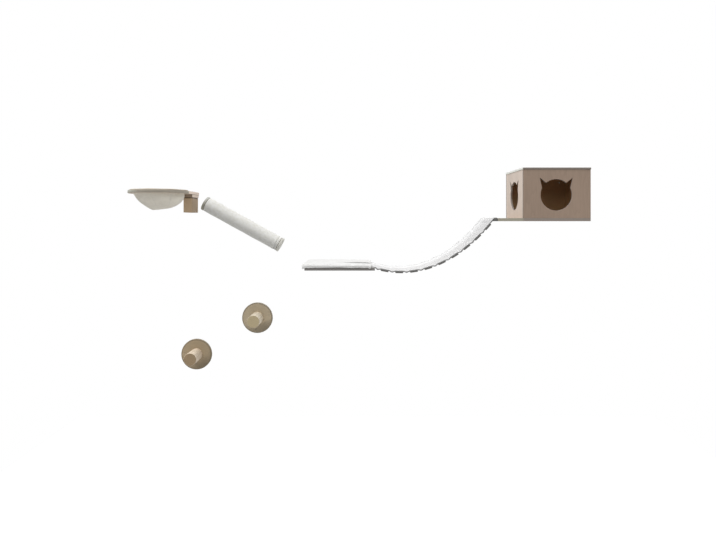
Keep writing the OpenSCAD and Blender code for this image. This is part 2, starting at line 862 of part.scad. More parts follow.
// Profile turned about the post's axis, its second coordinate running down the post
module turned_on_post(profile) {
    on_post() rotate([0, 90, 0]) rotate_extrude() polygon(profile);
}

core_r = post_d / 2 - sleeve_t - seat;
core_half_l = post_l / 2 - cap_t - seat;
sleeve_half_l = post_l / 2 - cap_t - cap_groove;

module post_core() {
    color(pine) difference() {
        turned_on_post([for (p = [[core_r - core_t, -1], [core_r, -1], [core_r, 1], [core_r - core_t, 1]])
            [p[0], p[1] * core_half_l]]);
        at_blocks() along_y(0, 0, post_bolt_d + 2 * fit, 0, post_d);
    }
}

module post_sleeve() {
    inner = post_d / 2 - sleeve_t;
    color(cream) difference() {
        turned_on_post([
            [inner, -sleeve_half_l], [inner + hem_t, -sleeve_half_l],
            [post_d / 2, hem_l - sleeve_half_l], [post_d / 2, sleeve_half_l - hem_l],
            [inner + hem_t, sleeve_half_l], [inner, sleeve_half_l]]);
        at_blocks() along_y(0, 0, post_bolt_d + 2 * clear, 0, post_d);
    }
}

// End cap at the upper (-1) or the lower (1) end: a bevelled disc with a plug in the core
module post_cap(side) {
    plug_r = core_r - core_t - fit;
    end = post_l / 2;
    turned_on_post([for (p = [
            [0, end - cap_t - plug_l], [plug_r, end - cap_t - plug_l], [plug_r, end - cap_t],
            [post_d / 2, end - cap_t], [post_d / 2, end - step_bevel], [post_d / 2 - step_bevel, end],
            [0, end]])
        [p[0], side * p[1]]]);
}

module post_upper_cap() {
    color(cream) post_cap(-1);
}

module post_lower_cap() {
    color(cream) post_cap(1);
}

module post_wall_blocks() {
    color(pine) difference() {
        at_blocks() box([-post_block_l / 2, post_d / 2 - saddle_rise, -post_block_w / 2],
                        [post_block_l / 2, post_out, post_block_w / 2]);
        on_post() rotate([0, 90, 0]) cylinder(r = post_d / 2 + clear, h = post_l, center = true);
        at_blocks() {
            along_y(0, 0, post_bolt_d + 2 * fit, 0, post_out - post_bolt_skin + fit);
            for (s = [-1, 1]) {
                along_y(s * post_hole_pitch / 2, 0, post_hole_d, 0, post_out + over);
                along_y(s * post_hole_pitch / 2, 0, post_recess_d, 0, post_d / 2 + clear + post_recess_l);
            }
        }
    }
}

// Bolts from inside the core into the blocks, each with a washer that bridges the core's curve
module post_mount_bolts() {
    core_in = core_r - core_t;
    face = sqrt(core_in * core_in - washer_d * washer_d / 4) - fit;
    color(steel) at_blocks() {
        translate([0, face - washer_t, 0]) rotate([90, 0, 0]) hex_head(post_bolt_d);
        along_y(0, 0, post_bolt_d, face - washer_t, post_out - post_bolt_skin);
        difference() {
            along_y(0, 0, washer_d, face - washer_t, face);
            along_y(0, 0, post_bolt_d + 2 * fit, 0, post_out);
        }
    }
}

// Frame of a step: Z out from the wall
module at_step(x, drop) {
    translate([-x, 0, -drop]) rotate([90, 0, 0]) children();
}

// Round piece that stands on z = 0, with a bevel round its front edge
module bevelled(d, l) {
    rotate_extrude() polygon([
        [0, 0], [d / 2, 0], [d / 2, l - step_bevel], [d / 2 - step_bevel, l], [0, l]]);
}

module step_disc() {
    color(birch) difference() {
        bevelled(disc_d, disc_t);
        for (i = [0:disc_holes - 1]) {
            rotate(360 * (i + 1 / 2) / disc_holes) translate([disc_hole_circle / 2, 0, disc_t])
                wall_hole(disc_hole_d, disc_t);
        }
        translate([0, 0, -over]) cylinder(d = step_bolt_d + 2 * fit, h = disc_t + 2 * over);
        translate([0, 0, -over])
            cylinder(d = hex_corners(step_bolt_d) + socket_room, h = step_recess_l + over);
    }
}

module step_peg() {
    color(pine) translate([0, 0, disc_t]) difference() {
        bevelled(peg_d, peg_l);
        translate([0, 0, -over])
            cylinder(d = step_bolt_d + 2 * fit, h = step_recess_l + step_bolt_l - disc_t + over + fit);
    }
}

module step_bolt() {
    color(steel) translate([0, 0, step_recess_l]) {
        cylinder(d = step_bolt_d, h = step_bolt_l);
        rotate([180, 0, 0]) hex_head(step_bolt_d);
    }
}

house_base_panel();
house_back_panel();
house_front_panel();
house_left_panel();
house_right_panel();
house_roof_panel();
house_dowels();
house_panel_screws();
platform_board();
platform_cushion();
platform_hook_strips();
platform_shelf_bracket();
bridge_platform_batten();
bridge_house_batten();
bridge_batten_screws();
bridge_deck_platform_end();
bridge_deck_house_end();
for (k = [1:slats]) {
    bridge_slat(k);
    bridge_deck(k);
}
hammock_ring();
hammock_bag();
hammock_snaps();
hammock_packer();
hammock_block();
hammock_ring_screws();
hammock_wall_bracket();
post_core();
post_sleeve();
post_upper_cap();
post_lower_cap();
post_wall_blocks();
post_mount_bolts();
at_step(step_upper_x, step_upper_drop) step_disc();  // step_upper_disc
at_step(step_upper_x, step_upper_drop) step_peg();  // step_upper_peg
at_step(step_upper_x, step_upper_drop) step_bolt();  // step_upper_bolt
at_step(step_lower_x, step_lower_drop) step_disc();  // step_lower_disc
at_step(step_lower_x, step_lower_drop) step_peg();  // step_lower_peg
at_step(step_lower_x, step_lower_drop) step_bolt();  // step_lower_bolt
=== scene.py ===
"""Cat climbing wall: a house with a porch, a hanging slat bridge, a cushioned platform,
a hammock in a ring, a padded scratching post and two peg steps.

Metres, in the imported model's frame: the wall is the plane y = 0, the room lies towards -Y,
X runs right and Z runs up."""

import math

import bmesh
import bpy
import numpy as np
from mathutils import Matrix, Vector, noise


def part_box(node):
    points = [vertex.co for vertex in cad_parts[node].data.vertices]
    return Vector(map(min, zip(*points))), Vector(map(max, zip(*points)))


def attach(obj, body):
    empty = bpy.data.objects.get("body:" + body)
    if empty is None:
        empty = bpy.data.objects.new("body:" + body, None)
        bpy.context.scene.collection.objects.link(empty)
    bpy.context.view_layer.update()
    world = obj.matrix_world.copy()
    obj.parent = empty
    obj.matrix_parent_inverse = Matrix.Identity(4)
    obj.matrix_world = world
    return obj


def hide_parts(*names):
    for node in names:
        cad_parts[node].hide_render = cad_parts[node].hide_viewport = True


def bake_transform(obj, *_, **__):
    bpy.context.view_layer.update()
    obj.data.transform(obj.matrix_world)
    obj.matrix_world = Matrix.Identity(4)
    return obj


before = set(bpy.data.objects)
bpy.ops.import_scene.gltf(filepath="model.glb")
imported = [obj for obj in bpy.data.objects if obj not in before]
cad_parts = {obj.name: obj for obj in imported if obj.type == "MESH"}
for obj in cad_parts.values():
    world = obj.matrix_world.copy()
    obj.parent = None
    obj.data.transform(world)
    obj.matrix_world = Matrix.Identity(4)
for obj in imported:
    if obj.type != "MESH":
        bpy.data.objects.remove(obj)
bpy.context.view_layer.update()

WALL = "fixed_to_wall"
TURN = 2 * math.pi


# Camera and light

PHOTO_W = 716
FOCAL_PX = 575
CAMERA_AT = (-1.167, -3.806, -0.155)
CAMERA_SHIFT_PX = (-2, -50)
AMBIENT = 0.34
# Name, the way it comes from, strength and softness in degrees
SUNS = (("key_light", (-0.46, -0.22, 0.86), 2.15, 30),
        ("fill_light", (0.62, -0.30, 0.72), 0.75, 40),
        ("back_light", (0.15, 0.95, 0.28), 0.6, 40))


def link(name, data):
    """An object of that data, in the scene."""
    made = bpy.data.objects.new(name, data)
    bpy.context.scene.collection.objects.link(made)
    return made


def set_camera():
    data = bpy.data.cameras.new("photo_camera")
    data.sensor_fit = "HORIZONTAL"
    data.sensor_width = 36
    data.lens = data.sensor_width * FOCAL_PX / PHOTO_W
    data.shift_x, data.shift_y = (shift / PHOTO_W for shift in CAMERA_SHIFT_PX)
    camera = link("photo_camera", data)
    camera.location = CAMERA_AT
    camera.rotation_euler = (math.pi / 2, 0, 0)
    bpy.context.scene.camera = camera


def add_suns():
    for name, come_from, strength, softness in SUNS:
        data = bpy.data.lights.new(name, "SUN")
        data.energy, data.angle = strength, math.radians(softness)
        link(name, data).rotation_euler = Vector(come_from).to_track_quat("Z", "Y").to_euler()


# Node trees


class Value:
    """An output that takes part in sums and products, each of which adds a Math node."""

    def __init__(self, graph, socket):
        self.graph, self.socket = graph, socket

    def __add__(self, other):
        return self.graph.math("ADD", self, other)

    def __sub__(self, other):
        return self.graph.math("SUBTRACT", self, other)

    def __rsub__(self, other):
        return self.graph.math("SUBTRACT", other, self)

    def __mul__(self, other):
        return self.graph.math("MULTIPLY", self, other)

    def __truediv__(self, other):
        return self.graph.math("DIVIDE", self, other)

    __radd__, __rmul__ = __add__, __mul__


class Graph:
    """A node tree, whose node() adds a node of any type."""

    def __init__(self, tree):
        self.tree = tree
        tree.nodes.clear()

    def node(self, kind, settings=None, values=None, output=0):
        made = self.tree.nodes.new(kind)
        for name, value in (settings or {}).items():
            setattr(made, name, value)
        for key, value in (values or {}).items():
            self.feed(made.inputs[key], value)
        return Value(self, made.outputs[output]) if made.outputs else made

    def feed(self, socket, value):
        if isinstance(value, Value):
            self.tree.links.new(value.socket, socket)
        elif socket.type == "RGBA" and len(value) == 3:
            socket.default_value = (*value, 1.0)
        else:
            socket.default_value = value

    def math(self, operation, *values):
        return self.node("ShaderNodeMath", {"operation": operation}, dict(enumerate(values)))


class Finish(Graph):
    """A material that is built up from patterns in the frame's own metres."""

    def __init__(self, name):
        self.material = bpy.data.materials.new(name)
        self.material.use_nodes = True
        super().__init__(self.material.node_tree)
        self.place = self.node("ShaderNodeTexCoord", output="Object")

    def along(self, axis, place=None):
        return self.node("ShaderNodeSeparateXYZ", values={0: place or self.place}, output=axis)

    def moved(self, place, shift=(0, 0, 0), scale=(1, 1, 1), turn=(0, 0, 0)):
        values = {"Vector": place, "Location": shift, "Rotation": turn, "Scale": scale}
        return self.node("ShaderNodeMapping", values=values)

    def measured_from(self, point):
        return self.moved(self.place, tuple(-part for part in point))

    def beyond(self, point, way):
        """How far each place lies beyond a point, that way."""
        offset = self.measured_from(point)
        return sum(self.along(axis, offset) * part for axis, part in zip("XYZ", way))

    def noise(self, scale, detail=2.0, shift=(0, 0, 0), place=None, roughness=0.5):
        """Noise between 0 and 1, with so many lumps for each metre along x, y and z."""
        if not isinstance(scale, tuple):
            scale = (scale,) * 3
        place = self.moved(place or self.place, shift, scale)
        values = {"Vector": place, "Scale": 1.0, "Detail": detail, "Roughness": roughness}
        return self.node("ShaderNodeTexNoise", {"noise_dimensions": "3D"}, values)

    def mask(self, value, low, high):
        """0 below low, 1 above high and smooth between them."""
        values = {"Value": value, "From Min": low, "From Max": high}
        return self.node("ShaderNodeMapRange", {"interpolation_type": "SMOOTHSTEP"}, values)

    def blend(self, share, first, second):
        values = {0: share, 6: first, 7: second}
        return self.node("ShaderNodeMix", {"data_type": "RGBA"}, values, 2)

    def attribute(self, name):
        return self.node("ShaderNodeAttribute", {"attribute_name": name}, output="Fac")

    def waves(self, value, length):
        """A sine wave of that length along a measure."""
        return self.math("SINE", value * (TURN / length))

    def done(self, colour, roughness, height, depth, **fixed):
        """Closes the material. Depth is the relief's depth in metres."""
        bump = self.node("ShaderNodeBump",
                         values={"Strength": 1.0, "Distance": depth, "Height": height})
        values = {"Base Color": colour, "Roughness": roughness, "Normal": bump}
        values.update({name.replace("_", " "): value for name, value in fixed.items()})
        shader = self.node("ShaderNodeBsdfPrincipled", values=values)
        self.node("ShaderNodeOutputMaterial", values={"Surface": shader})
        return self.material


def written(red, green, blue):
    """A colour from the 0 to 255 numbers of a picture."""
    shares = [part / 255 for part in (red, green, blue)]
    return tuple(s / 12.92 if s <= 0.04045 else ((s + 0.055) / 1.055) ** 2.4 for s in shares)


def toned(colour, share):
    return tuple(part * share for part in colour)


def grained(axis, with_grain, across):
    """How fine a pattern is along x, y and z, on wood whose grain runs along an axis."""
    return tuple(with_grain if part == axis else across for part in "XYZ")


# Finishes

CAVITY = ((-0.1886, 0.1886), (-0.3886, -0.0114), (-0.1446, 0.1446))
CAVITY_FADE = 0.0004
INSIDE_LIT_Z = (-0.09, 0.05)
PLY_THICK = 0.0028
LATE_SHARE = 0.62


def inside_house(f):
    """1 on the boards' faces inside the house."""
    share = 1
    for axis, (low, high) in zip("XYZ", CAVITY):
        half = (high - low) / 2
        off = f.math("ABSOLUTE", f.along(axis) - (low + high) / 2)
        share = share * (1 - f.mask(off, half, half + CAVITY_FADE))
    return share


def birch_ply(name, grain, through, low, high, face, edge, seed, inside_shade=None, end=None, lit_left=None):
    """Birch plywood: fibres along the grain on its faces and glued plies on its cut edges,
    which painted light can make lighter towards the board's left end. The inside tone is
    painted shade on the faces inside the house, and end is a tone of painted light on one
    end face."""
    f = Finish(name)
    shift = (seed * 3.7, seed * 1.9, seed * 5.3)
    rings = f.math("FRACT", f.noise(grained(grain, 1.6, 11), 2.0, shift) * 9)
    late_wood = rings * rings * rings
    fibre = f.noise(grained(grain, 9, 330), 3.0, shift, roughness=0.65)
    pores = f.mask(fibre, 0.42, 0.72)
    cloud = f.noise(grained(grain, 1.1, 5), 2.0, (seed, -seed, seed))
    fleck = f.mask(f.noise(grained(grain, 55, 800), 1.0, shift), 0.70, 0.78)
    colour = f.blend(cloud * 0.9, toned(face, 1.10), toned(face, 0.88))
    colour = f.blend(late_wood * 0.20 + pores * 0.24, colour, toned(face, 0.66))
    colour = f.blend(fleck * 0.35, colour, toned(face, 0.45))

    plies = max(5, 2 * round((high - low) / PLY_THICK) + 1)
    level = (f.along(through) - low) * (plies / (high - low))
    crossed = f.mask(f.math("PINGPONG", level, 1.0), 0.35, 0.65)
    glue = f.mask(f.math("ABSOLUTE", f.math("FRACT", level) - 0.5), 0.40, 0.47)
    end_fibre = f.noise(700, 2.0, shift)
    cut = f.blend(crossed * 0.8, toned(edge, 1.12), toned(edge, 0.72))
    cut = f.blend(glue * 0.55 + f.mask(end_fibre, 0.5, 0.8) * 0.2, cut, toned(edge, 0.42))
    # Painted light: left of a given x the cut edges take a lighter tone
    if lit_left:
        first_x, last_x, lit_tone = lit_left
        lit_cut = f.blend(glue * 0.3, lit_tone, toned(lit_tone, 0.7))
        cut = f.blend(f.mask(f.along("X"), first_x, last_x), lit_cut, cut)

    on_edge = f.attribute("cut_edge")
    colour = f.blend(on_edge, colour, cut)
    # Painted light on one end face
    if end:
        lit_end = f.blend(fibre * 0.3, end, toned(end, 0.8))
        colour = f.blend(f.attribute("painted_lit_end"), colour, lit_end)
    # Painted shade on the faces inside the house, with painted light low down, where light comes
    # in
    if inside_shade:
        shaded_inside = f.blend(pores * 0.35, inside_shade, toned(inside_shade, 0.6))
        shaded_inside = f.blend(f.mask(f.along("Z"), *INSIDE_LIT_Z), INSIDE_FLOOR_LIT, shaded_inside)
        colour = f.blend(inside_house(f), colour, shaded_inside)
    relief = (fibre * 0.6 + end_fibre * 0.4) * (0.35 + 0.65 * on_edge)
    return f.done(colour, 0.52 + 0.16 * fibre + 0.12 * on_edge, relief, 0.0003)


def ringed_wood(name, axis, pith, tone, ring, seed, late=None, turn=(0, 0, 0), end=None,
                rim=None, joint=None, shaded_side=None):
    """Solid wood: growth rings about a pith line along one axis, and fibres along it. It can
    be darker on a turned disc's rim, with painted shadow from just below a given height
    upwards, and with painted shade beyond a point towards one side. End grain can have a
    tone of its own."""
    f = Finish(name)
    late = late or toned(tone, LATE_SHARE)
    place = f.moved(f.measured_from(pith), turn=turn)
    shift = (seed * 2.3, seed * 4.1, seed * 1.7)
    wander = f.noise(grained(axis, 2.0, 9), 2.0, shift, place)
    first, second = (f.along(other, place) for other in "XYZ".replace(axis, ""))
    radius = f.math("SQRT", first * first + second * second) + (wander - 0.5) * (4 * ring)
    rings = f.math("FRACT", radius / ring)
    late_wood = f.mask(rings, 0.45, 0.92) * (1 - f.mask(rings, 0.94, 1.0))
    fibre = f.noise(grained(axis, 14, 520), 3.0, shift, place, 0.65)
    cloud = f.noise(grained(axis, 3, 12), 2.0, shift, place)
    knot_dust = f.mask(f.noise(grained(axis, 30, 160), 1.0, shift, place), 0.72, 0.80)
    colour = f.blend(cloud, toned(tone, 1.08), toned(tone, 0.90))
    colour = f.blend(late_wood * 0.42 + f.mask(fibre, 0.45, 0.75) * 0.18, colour, late)
    colour = f.blend(knot_dust * 0.25, colour, toned(late, 0.6))
    # Painted shade: darker beyond a point towards one side, where the peg's shadow falls on a disc
    if shaded_side:
        centre, way, reach = shaded_side
        side = f.beyond(centre, way) + (wander - 0.5) * reach
        colour = f.blend(f.mask(side, -reach, reach) * 0.9, colour, toned(tone, 0.52))
    if end:
        pores = f.mask(f.noise(420, 2.0, shift, place), 0.45, 0.75)
        cut = f.blend(late_wood * 0.40 + pores * 0.2, toned(end, 1.08), toned(end, 0.55))
        colour = f.blend(f.attribute("end_grain"), colour, cut)
    if rim:
        centre, rim_r, band = rim
        offset = f.measured_from(centre)
        x, z = f.along("X", offset), f.along("Z", offset)
        near_rim = f.mask(f.math("SQRT", x * x + z * z), rim_r - band * 1.8, rim_r - band * 0.6)
        colour = f.blend(near_rim * 0.75, colour, toned(late, 0.68))
    # Painted shadow: darker from just below the height where the packing sits on the beam
    if joint:
        joint_shadow = f.mask(f.along("Z"), joint - 0.009, joint - 0.005)
        colour = f.blend(joint_shadow * 0.8, colour, toned(late, 0.35))
    return f.done(colour, 0.50 + 0.2 * fibre, fibre * 0.6 + late_wood * 0.4, 0.00035)


def pile_cloth(name, colour, shade, tufts, clumps, depth, sheen=0.35, lit_side=None):
    """Short pile, in tufts that lie in clumps, darker with painted shade as much as a mesh
    attribute asks, and lighter with painted light towards one side of a point, over a given
    reach."""
    f = Finish(name)
    fine = f.noise(tufts, 2.0, roughness=0.7)
    lumps = f.noise(clumps, 3.0, (3, 1, 2))
    nap = f.noise(9, 1.0, (1, 7, 4))
    tint = f.blend(f.mask(lumps, 0.3, 0.75) * 0.7 + f.mask(fine, 0.4, 0.8) * 0.3, colour, shade)
    tint = f.blend(nap * 0.35, tint, toned(colour, 0.93))
    # Painted light: lighter towards one side of a point
    if lit_side:
        centre, way, reach, lit_tone = lit_side
        side = f.beyond(centre, way) + (fine - 0.5) * 0.006
        tint = f.blend(f.mask(side, -0.3 * reach, reach), tint, lit_tone)
    # Painted shade, as much as the mesh attribute asks
    tint = f.blend(f.attribute("painted_shade"), tint, toned(shade, 0.22))
    return f.done(tint, 0.88 + 0.1 * fine, fine * 0.55 + lumps * 0.45, depth,
                  Sheen_Weight=sheen, Sheen_Roughness=0.5)


def woven_cloth(name, colour, shade, pitch, depth, wall_light=None):
    """Plain weave that follows the cloth's own measure, with slubs in its threads. It may be
    lighter towards the wall with painted light, and darker with painted shade as much as a
    mesh attribute asks."""
    f = Finish(name)
    cloth = f.node("ShaderNodeUVMap", {"uv_map": "cloth"})
    warp, weft = (f.waves(f.along(axis, cloth), 2 * pitch) for axis in "XY")
    threads = 0.5 + 0.5 * (warp * weft)
    slub_warp = f.noise((700, 25, 1), 2.0, place=cloth)
    slub_weft = f.noise((25, 700, 1), 2.0, (4, 2, 0), cloth)
    wash = f.noise((14, 14, 1), 3.0, (1, 5, 0), cloth)
    tint = f.blend((1 - threads) * 0.30 + slub_warp * slub_weft * 0.6, colour, shade)
    tint = f.blend(f.mask(wash, 0.35, 0.75) * 0.35, tint, toned(shade, 0.94))
    if wall_light:
        lit_tone, first_y, last_y = wall_light
        tint = f.blend(f.mask(f.along("Y") + (wash - 0.5) * 0.05, first_y, last_y), tint, lit_tone)
    # Painted shade, as much as the mesh attribute asks
    tint = f.blend(f.attribute("painted_shade"), tint, toned(shade, 0.35))
    relief = threads * 0.7 + slub_warp * 0.15 + slub_weft * 0.15
    return f.done(tint, 0.82 + 0.12 * slub_warp, relief, depth, Sheen_Weight=0.2)


def worn_metal(name, colour, roughness, cloud_scale):
    """Plated steel with a faint cloud in its plating and fine handling marks."""
    f = Finish(name)
    cloud = f.noise(cloud_scale, 3.0)
    marks = f.noise((1800, 1800, 200), 1.0)
    tint = f.blend(f.mask(cloud, 0.35, 0.7), colour, toned(colour, 0.78))
    rough = roughness + 0.14 * cloud + 0.08 * marks
    return f.done(tint, rough, cloud * 0.3 + marks * 0.7, 0.00004, Metallic=1.0)


def hook_tape(name):
    """Woven tape with rows of small hooks."""
    f = Finish(name)
    rows = f.waves(f.along("X"), 0.0016) * f.waves(f.along("Y"), 0.0019)
    fuzz = f.noise(900, 2.0)
    tint = f.blend(f.mask(rows + fuzz - 0.5, 0.0, 0.8), (0.035, 0.035, 0.037), (0.11, 0.11, 0.115))
    return f.done(tint, 0.7 + 0.2 * fuzz, rows * 0.6 + fuzz * 0.4, 0.0008)


def twisted_thread(name, colour):
    """Sewing thread with its twist and a little fluff."""
    f = Finish(name)
    twist = f.waves(f.along("X") + f.along("Y") + f.along("Z"), 0.0009)
    fluff = f.noise(1500, 2.0)
    tint = f.blend((0.5 + 0.5 * twist) * 0.4 + fluff * 0.3, colour, toned(colour, 0.72))
    return f.done(tint, 0.75 + 0.15 * fluff, twist * 0.6 + fluff * 0.4, 0.0002)


# Meshes

MERGE = 2e-6


def fasten(piece, node=None, body=WALL):
    """Hides the node that a piece stands for, and hangs the piece on the body that carries it."""
    if node:
        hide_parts(node)
    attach(piece, body)


def settle(piece):
    """Turns a piece's modifiers into a plain mesh."""
    graph = bpy.context.evaluated_depsgraph_get()
    shape = bpy.data.meshes.new_from_object(
        piece.evaluated_get(graph), preserve_all_data_layers=True, depsgraph=graph)
    piece.modifiers.clear()
    piece.data = shape
    return piece


def smooth_by_angle(mesh, degrees):
    mesh.polygons.foreach_set("use_smooth", [True] * len(mesh.polygons))
    mesh.set_sharp_from_angle(angle=math.radians(degrees))


def merged_copy(node):
    """A node's loose triangles, merged."""
    shape = bmesh.new()
    shape.from_mesh(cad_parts[node].data)
    bmesh.ops.remove_doubles(shape, verts=shape.verts, dist=MERGE)
    return shape


def closed_mesh(shape, name):
    mesh = bpy.data.meshes.new(name)
    shape.to_mesh(mesh)
    shape.free()
    return mesh


def set_values(mesh, name, domain, values):
    """An attribute that the material reads."""
    values = np.array(values, np.float32).ravel()
    mesh.attributes.new(name, "FLOAT", domain).data.foreach_set("value", values)


def groups_of(edges):
    """Edges in groups that hang together."""
    waiting, groups = set(edges), []
    while waiting:
        group, front = [], [waiting.pop()]
        while front:
            edge = front.pop()
            group.append(edge)
            near = {e for v in edge.verts for e in v.link_edges} & waiting
            waiting -= near
            front.extend(near)
        groups.append(group)
    return groups


def extent(edges):
    points = np.array([v.co for e in edges for v in e.verts])
    return float(np.linalg.norm(points.max(0) - points.min(0)))


def eased(node, name, material, ease, steps=2, small_hole=0.03, body=WALL,
          through=None, lit_end_way=None, grain=None):
    """A board from the frame with its sharp edges eased, as a sander leaves them. Edges of
    small holes stay sharp."""
    shape = merged_copy(node)
    bmesh.ops.dissolve_limit(
        shape, angle_limit=math.radians(0.5), verts=shape.verts, edges=shape.edges)
    sharp = [e for e in shape.edges
             if len(e.link_faces) == 2 and e.calc_face_angle() > math.radians(32)]
    sharp = sorted(sharp, key=lambda e: e.index)
    worked = {e for group in groups_of(sharp) if extent(group) > small_hole for e in group}
    worked = sorted(worked, key=lambda e: e.index)
    bmesh.ops.bevel(shape, geom=worked, offset=ease, offset_type="OFFSET", segments=steps,
                    profile=0.5, affect="EDGES", clamp_overlap=True)
    shape.normal_update()
    for face in shape.faces:
        beside = [e for e in face.edges if len(e.link_faces) == 2]
        in_plane = any(e.calc_face_angle() < math.radians(0.4) for e in beside)
        face.smooth = not (in_plane or face.calc_area() > 0.0015)
    mesh = closed_mesh(shape, name)
    faces = mesh.polygons
    if through:
        axis = "XYZ".index(through)
        set_values(mesh, "cut_edge", "FACE", [abs(face.normal[axis]) < 0.6 for face in faces])
    # Painted light: the end faces that way get the lit tone
    if lit_end_way:
        lit_end = [face.normal.x * lit_end_way > 0.8 and face.area > 0.0003 for face in faces]
        set_values(mesh, "painted_lit_end", "FACE", lit_end)
    if grain:
        axis = "XYZ".index(grain)
        set_values(mesh, "end_grain", "FACE", [abs(face.normal[axis]) > 0.8 for face in faces])
    mesh.materials.append(material)
    fasten(link(name, mesh), node, body)


def skin(name, rows, cloth, material, loop=False, painted_shade=None):
    """A quad skin over rows of points, with the cloth's own measure as its UV map."""
    count, across = len(rows), len(rows[0])
    faces, measures = [], []
    for i in range(count - 1):
        for j in range(across if loop else across - 1):
            k = (j + 1) % across
            above, below = i * across, (i + 1) * across
            faces.append((above + j, above + k, below + k, below + j))
            measures += [cloth[i][j], cloth[i][j + 1], cloth[i + 1][j + 1], cloth[i + 1][j]]
    mesh = bpy.data.meshes.new(name)
    mesh.from_pydata([tuple(point) for row in rows for point in row], [], faces)
    layer = mesh.uv_layers.new(name="cloth")
    layer.data.foreach_set("uv", [part for measure in measures for part in measure])
    if painted_shade is not None:
        set_values(mesh, "painted_shade", "POINT", painted_shade)
    shape = bmesh.new()
    shape.from_mesh(mesh)
    bmesh.ops.remove_doubles(shape, verts=shape.verts, dist=MERGE / 2)
    bmesh.ops.recalc_face_normals(shape, faces=shape.faces)
    shape.to_mesh(mesh)
    shape.free()
    mesh.materials.append(material)
    return link(name, mesh)


def thicken(piece, thickness):
    """Gives a skin its thickness, half to each side."""
    solid = piece.modifiers.new("thickness", "SOLIDIFY")
    solid.thickness, solid.offset, solid.use_even_offset = thickness, 0, True
    settle(piece)
    smooth_by_angle(piece.data, 70)
    return piece


# What repeats


class Row(Graph):
    """A Geometry Nodes tree that sets one small item on every place that it is given."""

    def __init__(self, name, sizes):
        tree = bpy.data.node_groups.new(name, "GeometryNodeTree")
        super().__init__(tree)
        tree.interface.new_socket("Places", in_out="INPUT", socket_type="NodeSocketGeometry")
        for title, size in sizes.items():
            socket = tree.interface.new_socket(title, in_out="INPUT",
                                               socket_type="NodeSocketFloat")
            socket.default_value = size
        tree.interface.new_socket("Items", in_out="OUTPUT", socket_type="NodeSocketGeometry")
        self.given = tree.nodes.new("NodeGroupInput")
        self.places, *self.sizes = (Value(self, self.given.outputs[title])
                                    for title in ("Places", *sizes))

    def vector(self, x, y, z):
        return self.node("ShaderNodeCombineXYZ", values={0: x, 1: y, 2: z})

    def raised(self, item, height, scale=(1, 1, 1)):
        values = {"Geometry": item, "Translation": self.vector(0.0, 0.0, height), "Scale": scale}
        return self.node("GeometryNodeTransform", values=values)

    def cone(self, sides, top, bottom, depth, height=0.0):
        """A cone with those radii, raised by a height."""
        values = {"Vertices": sides, "Radius Top": top, "Radius Bottom": bottom, "Depth": depth}
        return self.raised(self.node("GeometryNodeMeshCone", values=values), height)

    def button(self, sides, width, thick, height):
        """A flattened ball, raised by a height."""
        values = {"Segments": sides, "Rings": sides // 2, "Radius": 0.5}
        ball = self.node("GeometryNodeMeshUVSphere", values=values)
        return self.raised(ball, height, self.vector(width, width, thick))

    def joined(self, *items):
        made = self.tree.nodes.new("GeometryNodeJoinGeometry")
        for item in reversed(items):
            self.tree.links.new(item.socket, made.inputs[0])
        return Value(self, made.outputs[0])

    def facing(self, seed, most_turn):
        """Turned from the Z axis to each place's own direction, and a random way round it."""
        way = self.node("GeometryNodeInputNamedAttribute", {"data_type": "FLOAT_VECTOR"},
                        {"Name": "facing"})
        upright = self.node("FunctionNodeAlignRotationToVector", {"axis": "Z"}, {"Vector": way})
        angle = self.node("FunctionNodeRandomValue", {"data_type": "FLOAT"},
                          {2: 0.0, 3: most_turn, 8: seed}, 1)
        spin = self.node("FunctionNodeAxisAngleToRotation",
                         values={"Axis": (0, 0, 1), "Angle": angle})
        return self.node("FunctionNodeRotateRotation", {"rotation_space": "LOCAL"},
                         {"Rotation": upright, "Rotate By": spin})

    def done(self, item, rotation, material, places=None):
        """Closes the tree, with the item on every place as real geometry."""
        values = {"Points": places or self.places, "Instance": item, "Rotation": rotation}
        placed = self.node("GeometryNodeInstanceOnPoints", values=values)
        real = self.node("GeometryNodeRealizeInstances", values={0: placed})
        real = self.node("GeometryNodeSetShadeSmooth", values={0: real})
        real = self.node("GeometryNodeSetMaterial",
                         values={"Geometry": real, "Material": material})
        self.node("NodeGroupOutput", values={0: real})
        return self.tree


def made_on(tree, name, places, lines=(), sizes=None):
    """The tree's items on those places, as a plain mesh. A place is a point and a direction."""
    mesh = bpy.data.meshes.new(name)
    mesh.from_pydata([tuple(point) for point, _ in places], list(lines), [])
    ways = np.array([way for _, way in places], np.float32).ravel()
    mesh.attributes.new("facing", "FLOAT_VECTOR", "POINT").data.foreach_set("vector", ways)
    piece = link(name, mesh)
    rows = piece.modifiers.new("row", "NODES")
    rows.node_group = tree
    for socket in tree.interface.items_tree:
        if socket.name in (sizes or {}):
            rows[socket.identifier] = sizes[socket.name]
    settle(piece)
    piece.data.set_sharp_from_angle(angle=math.radians(40))
    return piece


def screw_rows(material):
    """Countersunk screws with a crossed recess. Each place is the middle of its head's top."""
    row = Row("countersunk_screws", {"Shank": 0.004, "Length": 0.04, "Recess": 0.0009})
    shank, length, slit = row.sizes
    head = row.cone(24, shank, shank * 0.5, shank * 0.5, shank * -0.5)
    for across, along in ((shank * 1.15, slit), (slit, shank * 1.15)):
        size = row.vector(across, along, shank * 0.7)
        cutter = row.node("GeometryNodeMeshCube", values={"Size": size})
        head = row.node("GeometryNodeMeshBoolean", {"operation": "DIFFERENCE", "solver": "EXACT"},
                        {"Mesh 1": head, "Mesh 2": cutter})
    shaft = row.cone(10, shank * 0.45, shank * 0.12, length - shank * 0.6, length * -1.0)
    return row.done(row.joined(head, shaft), row.facing(7, TURN), material)


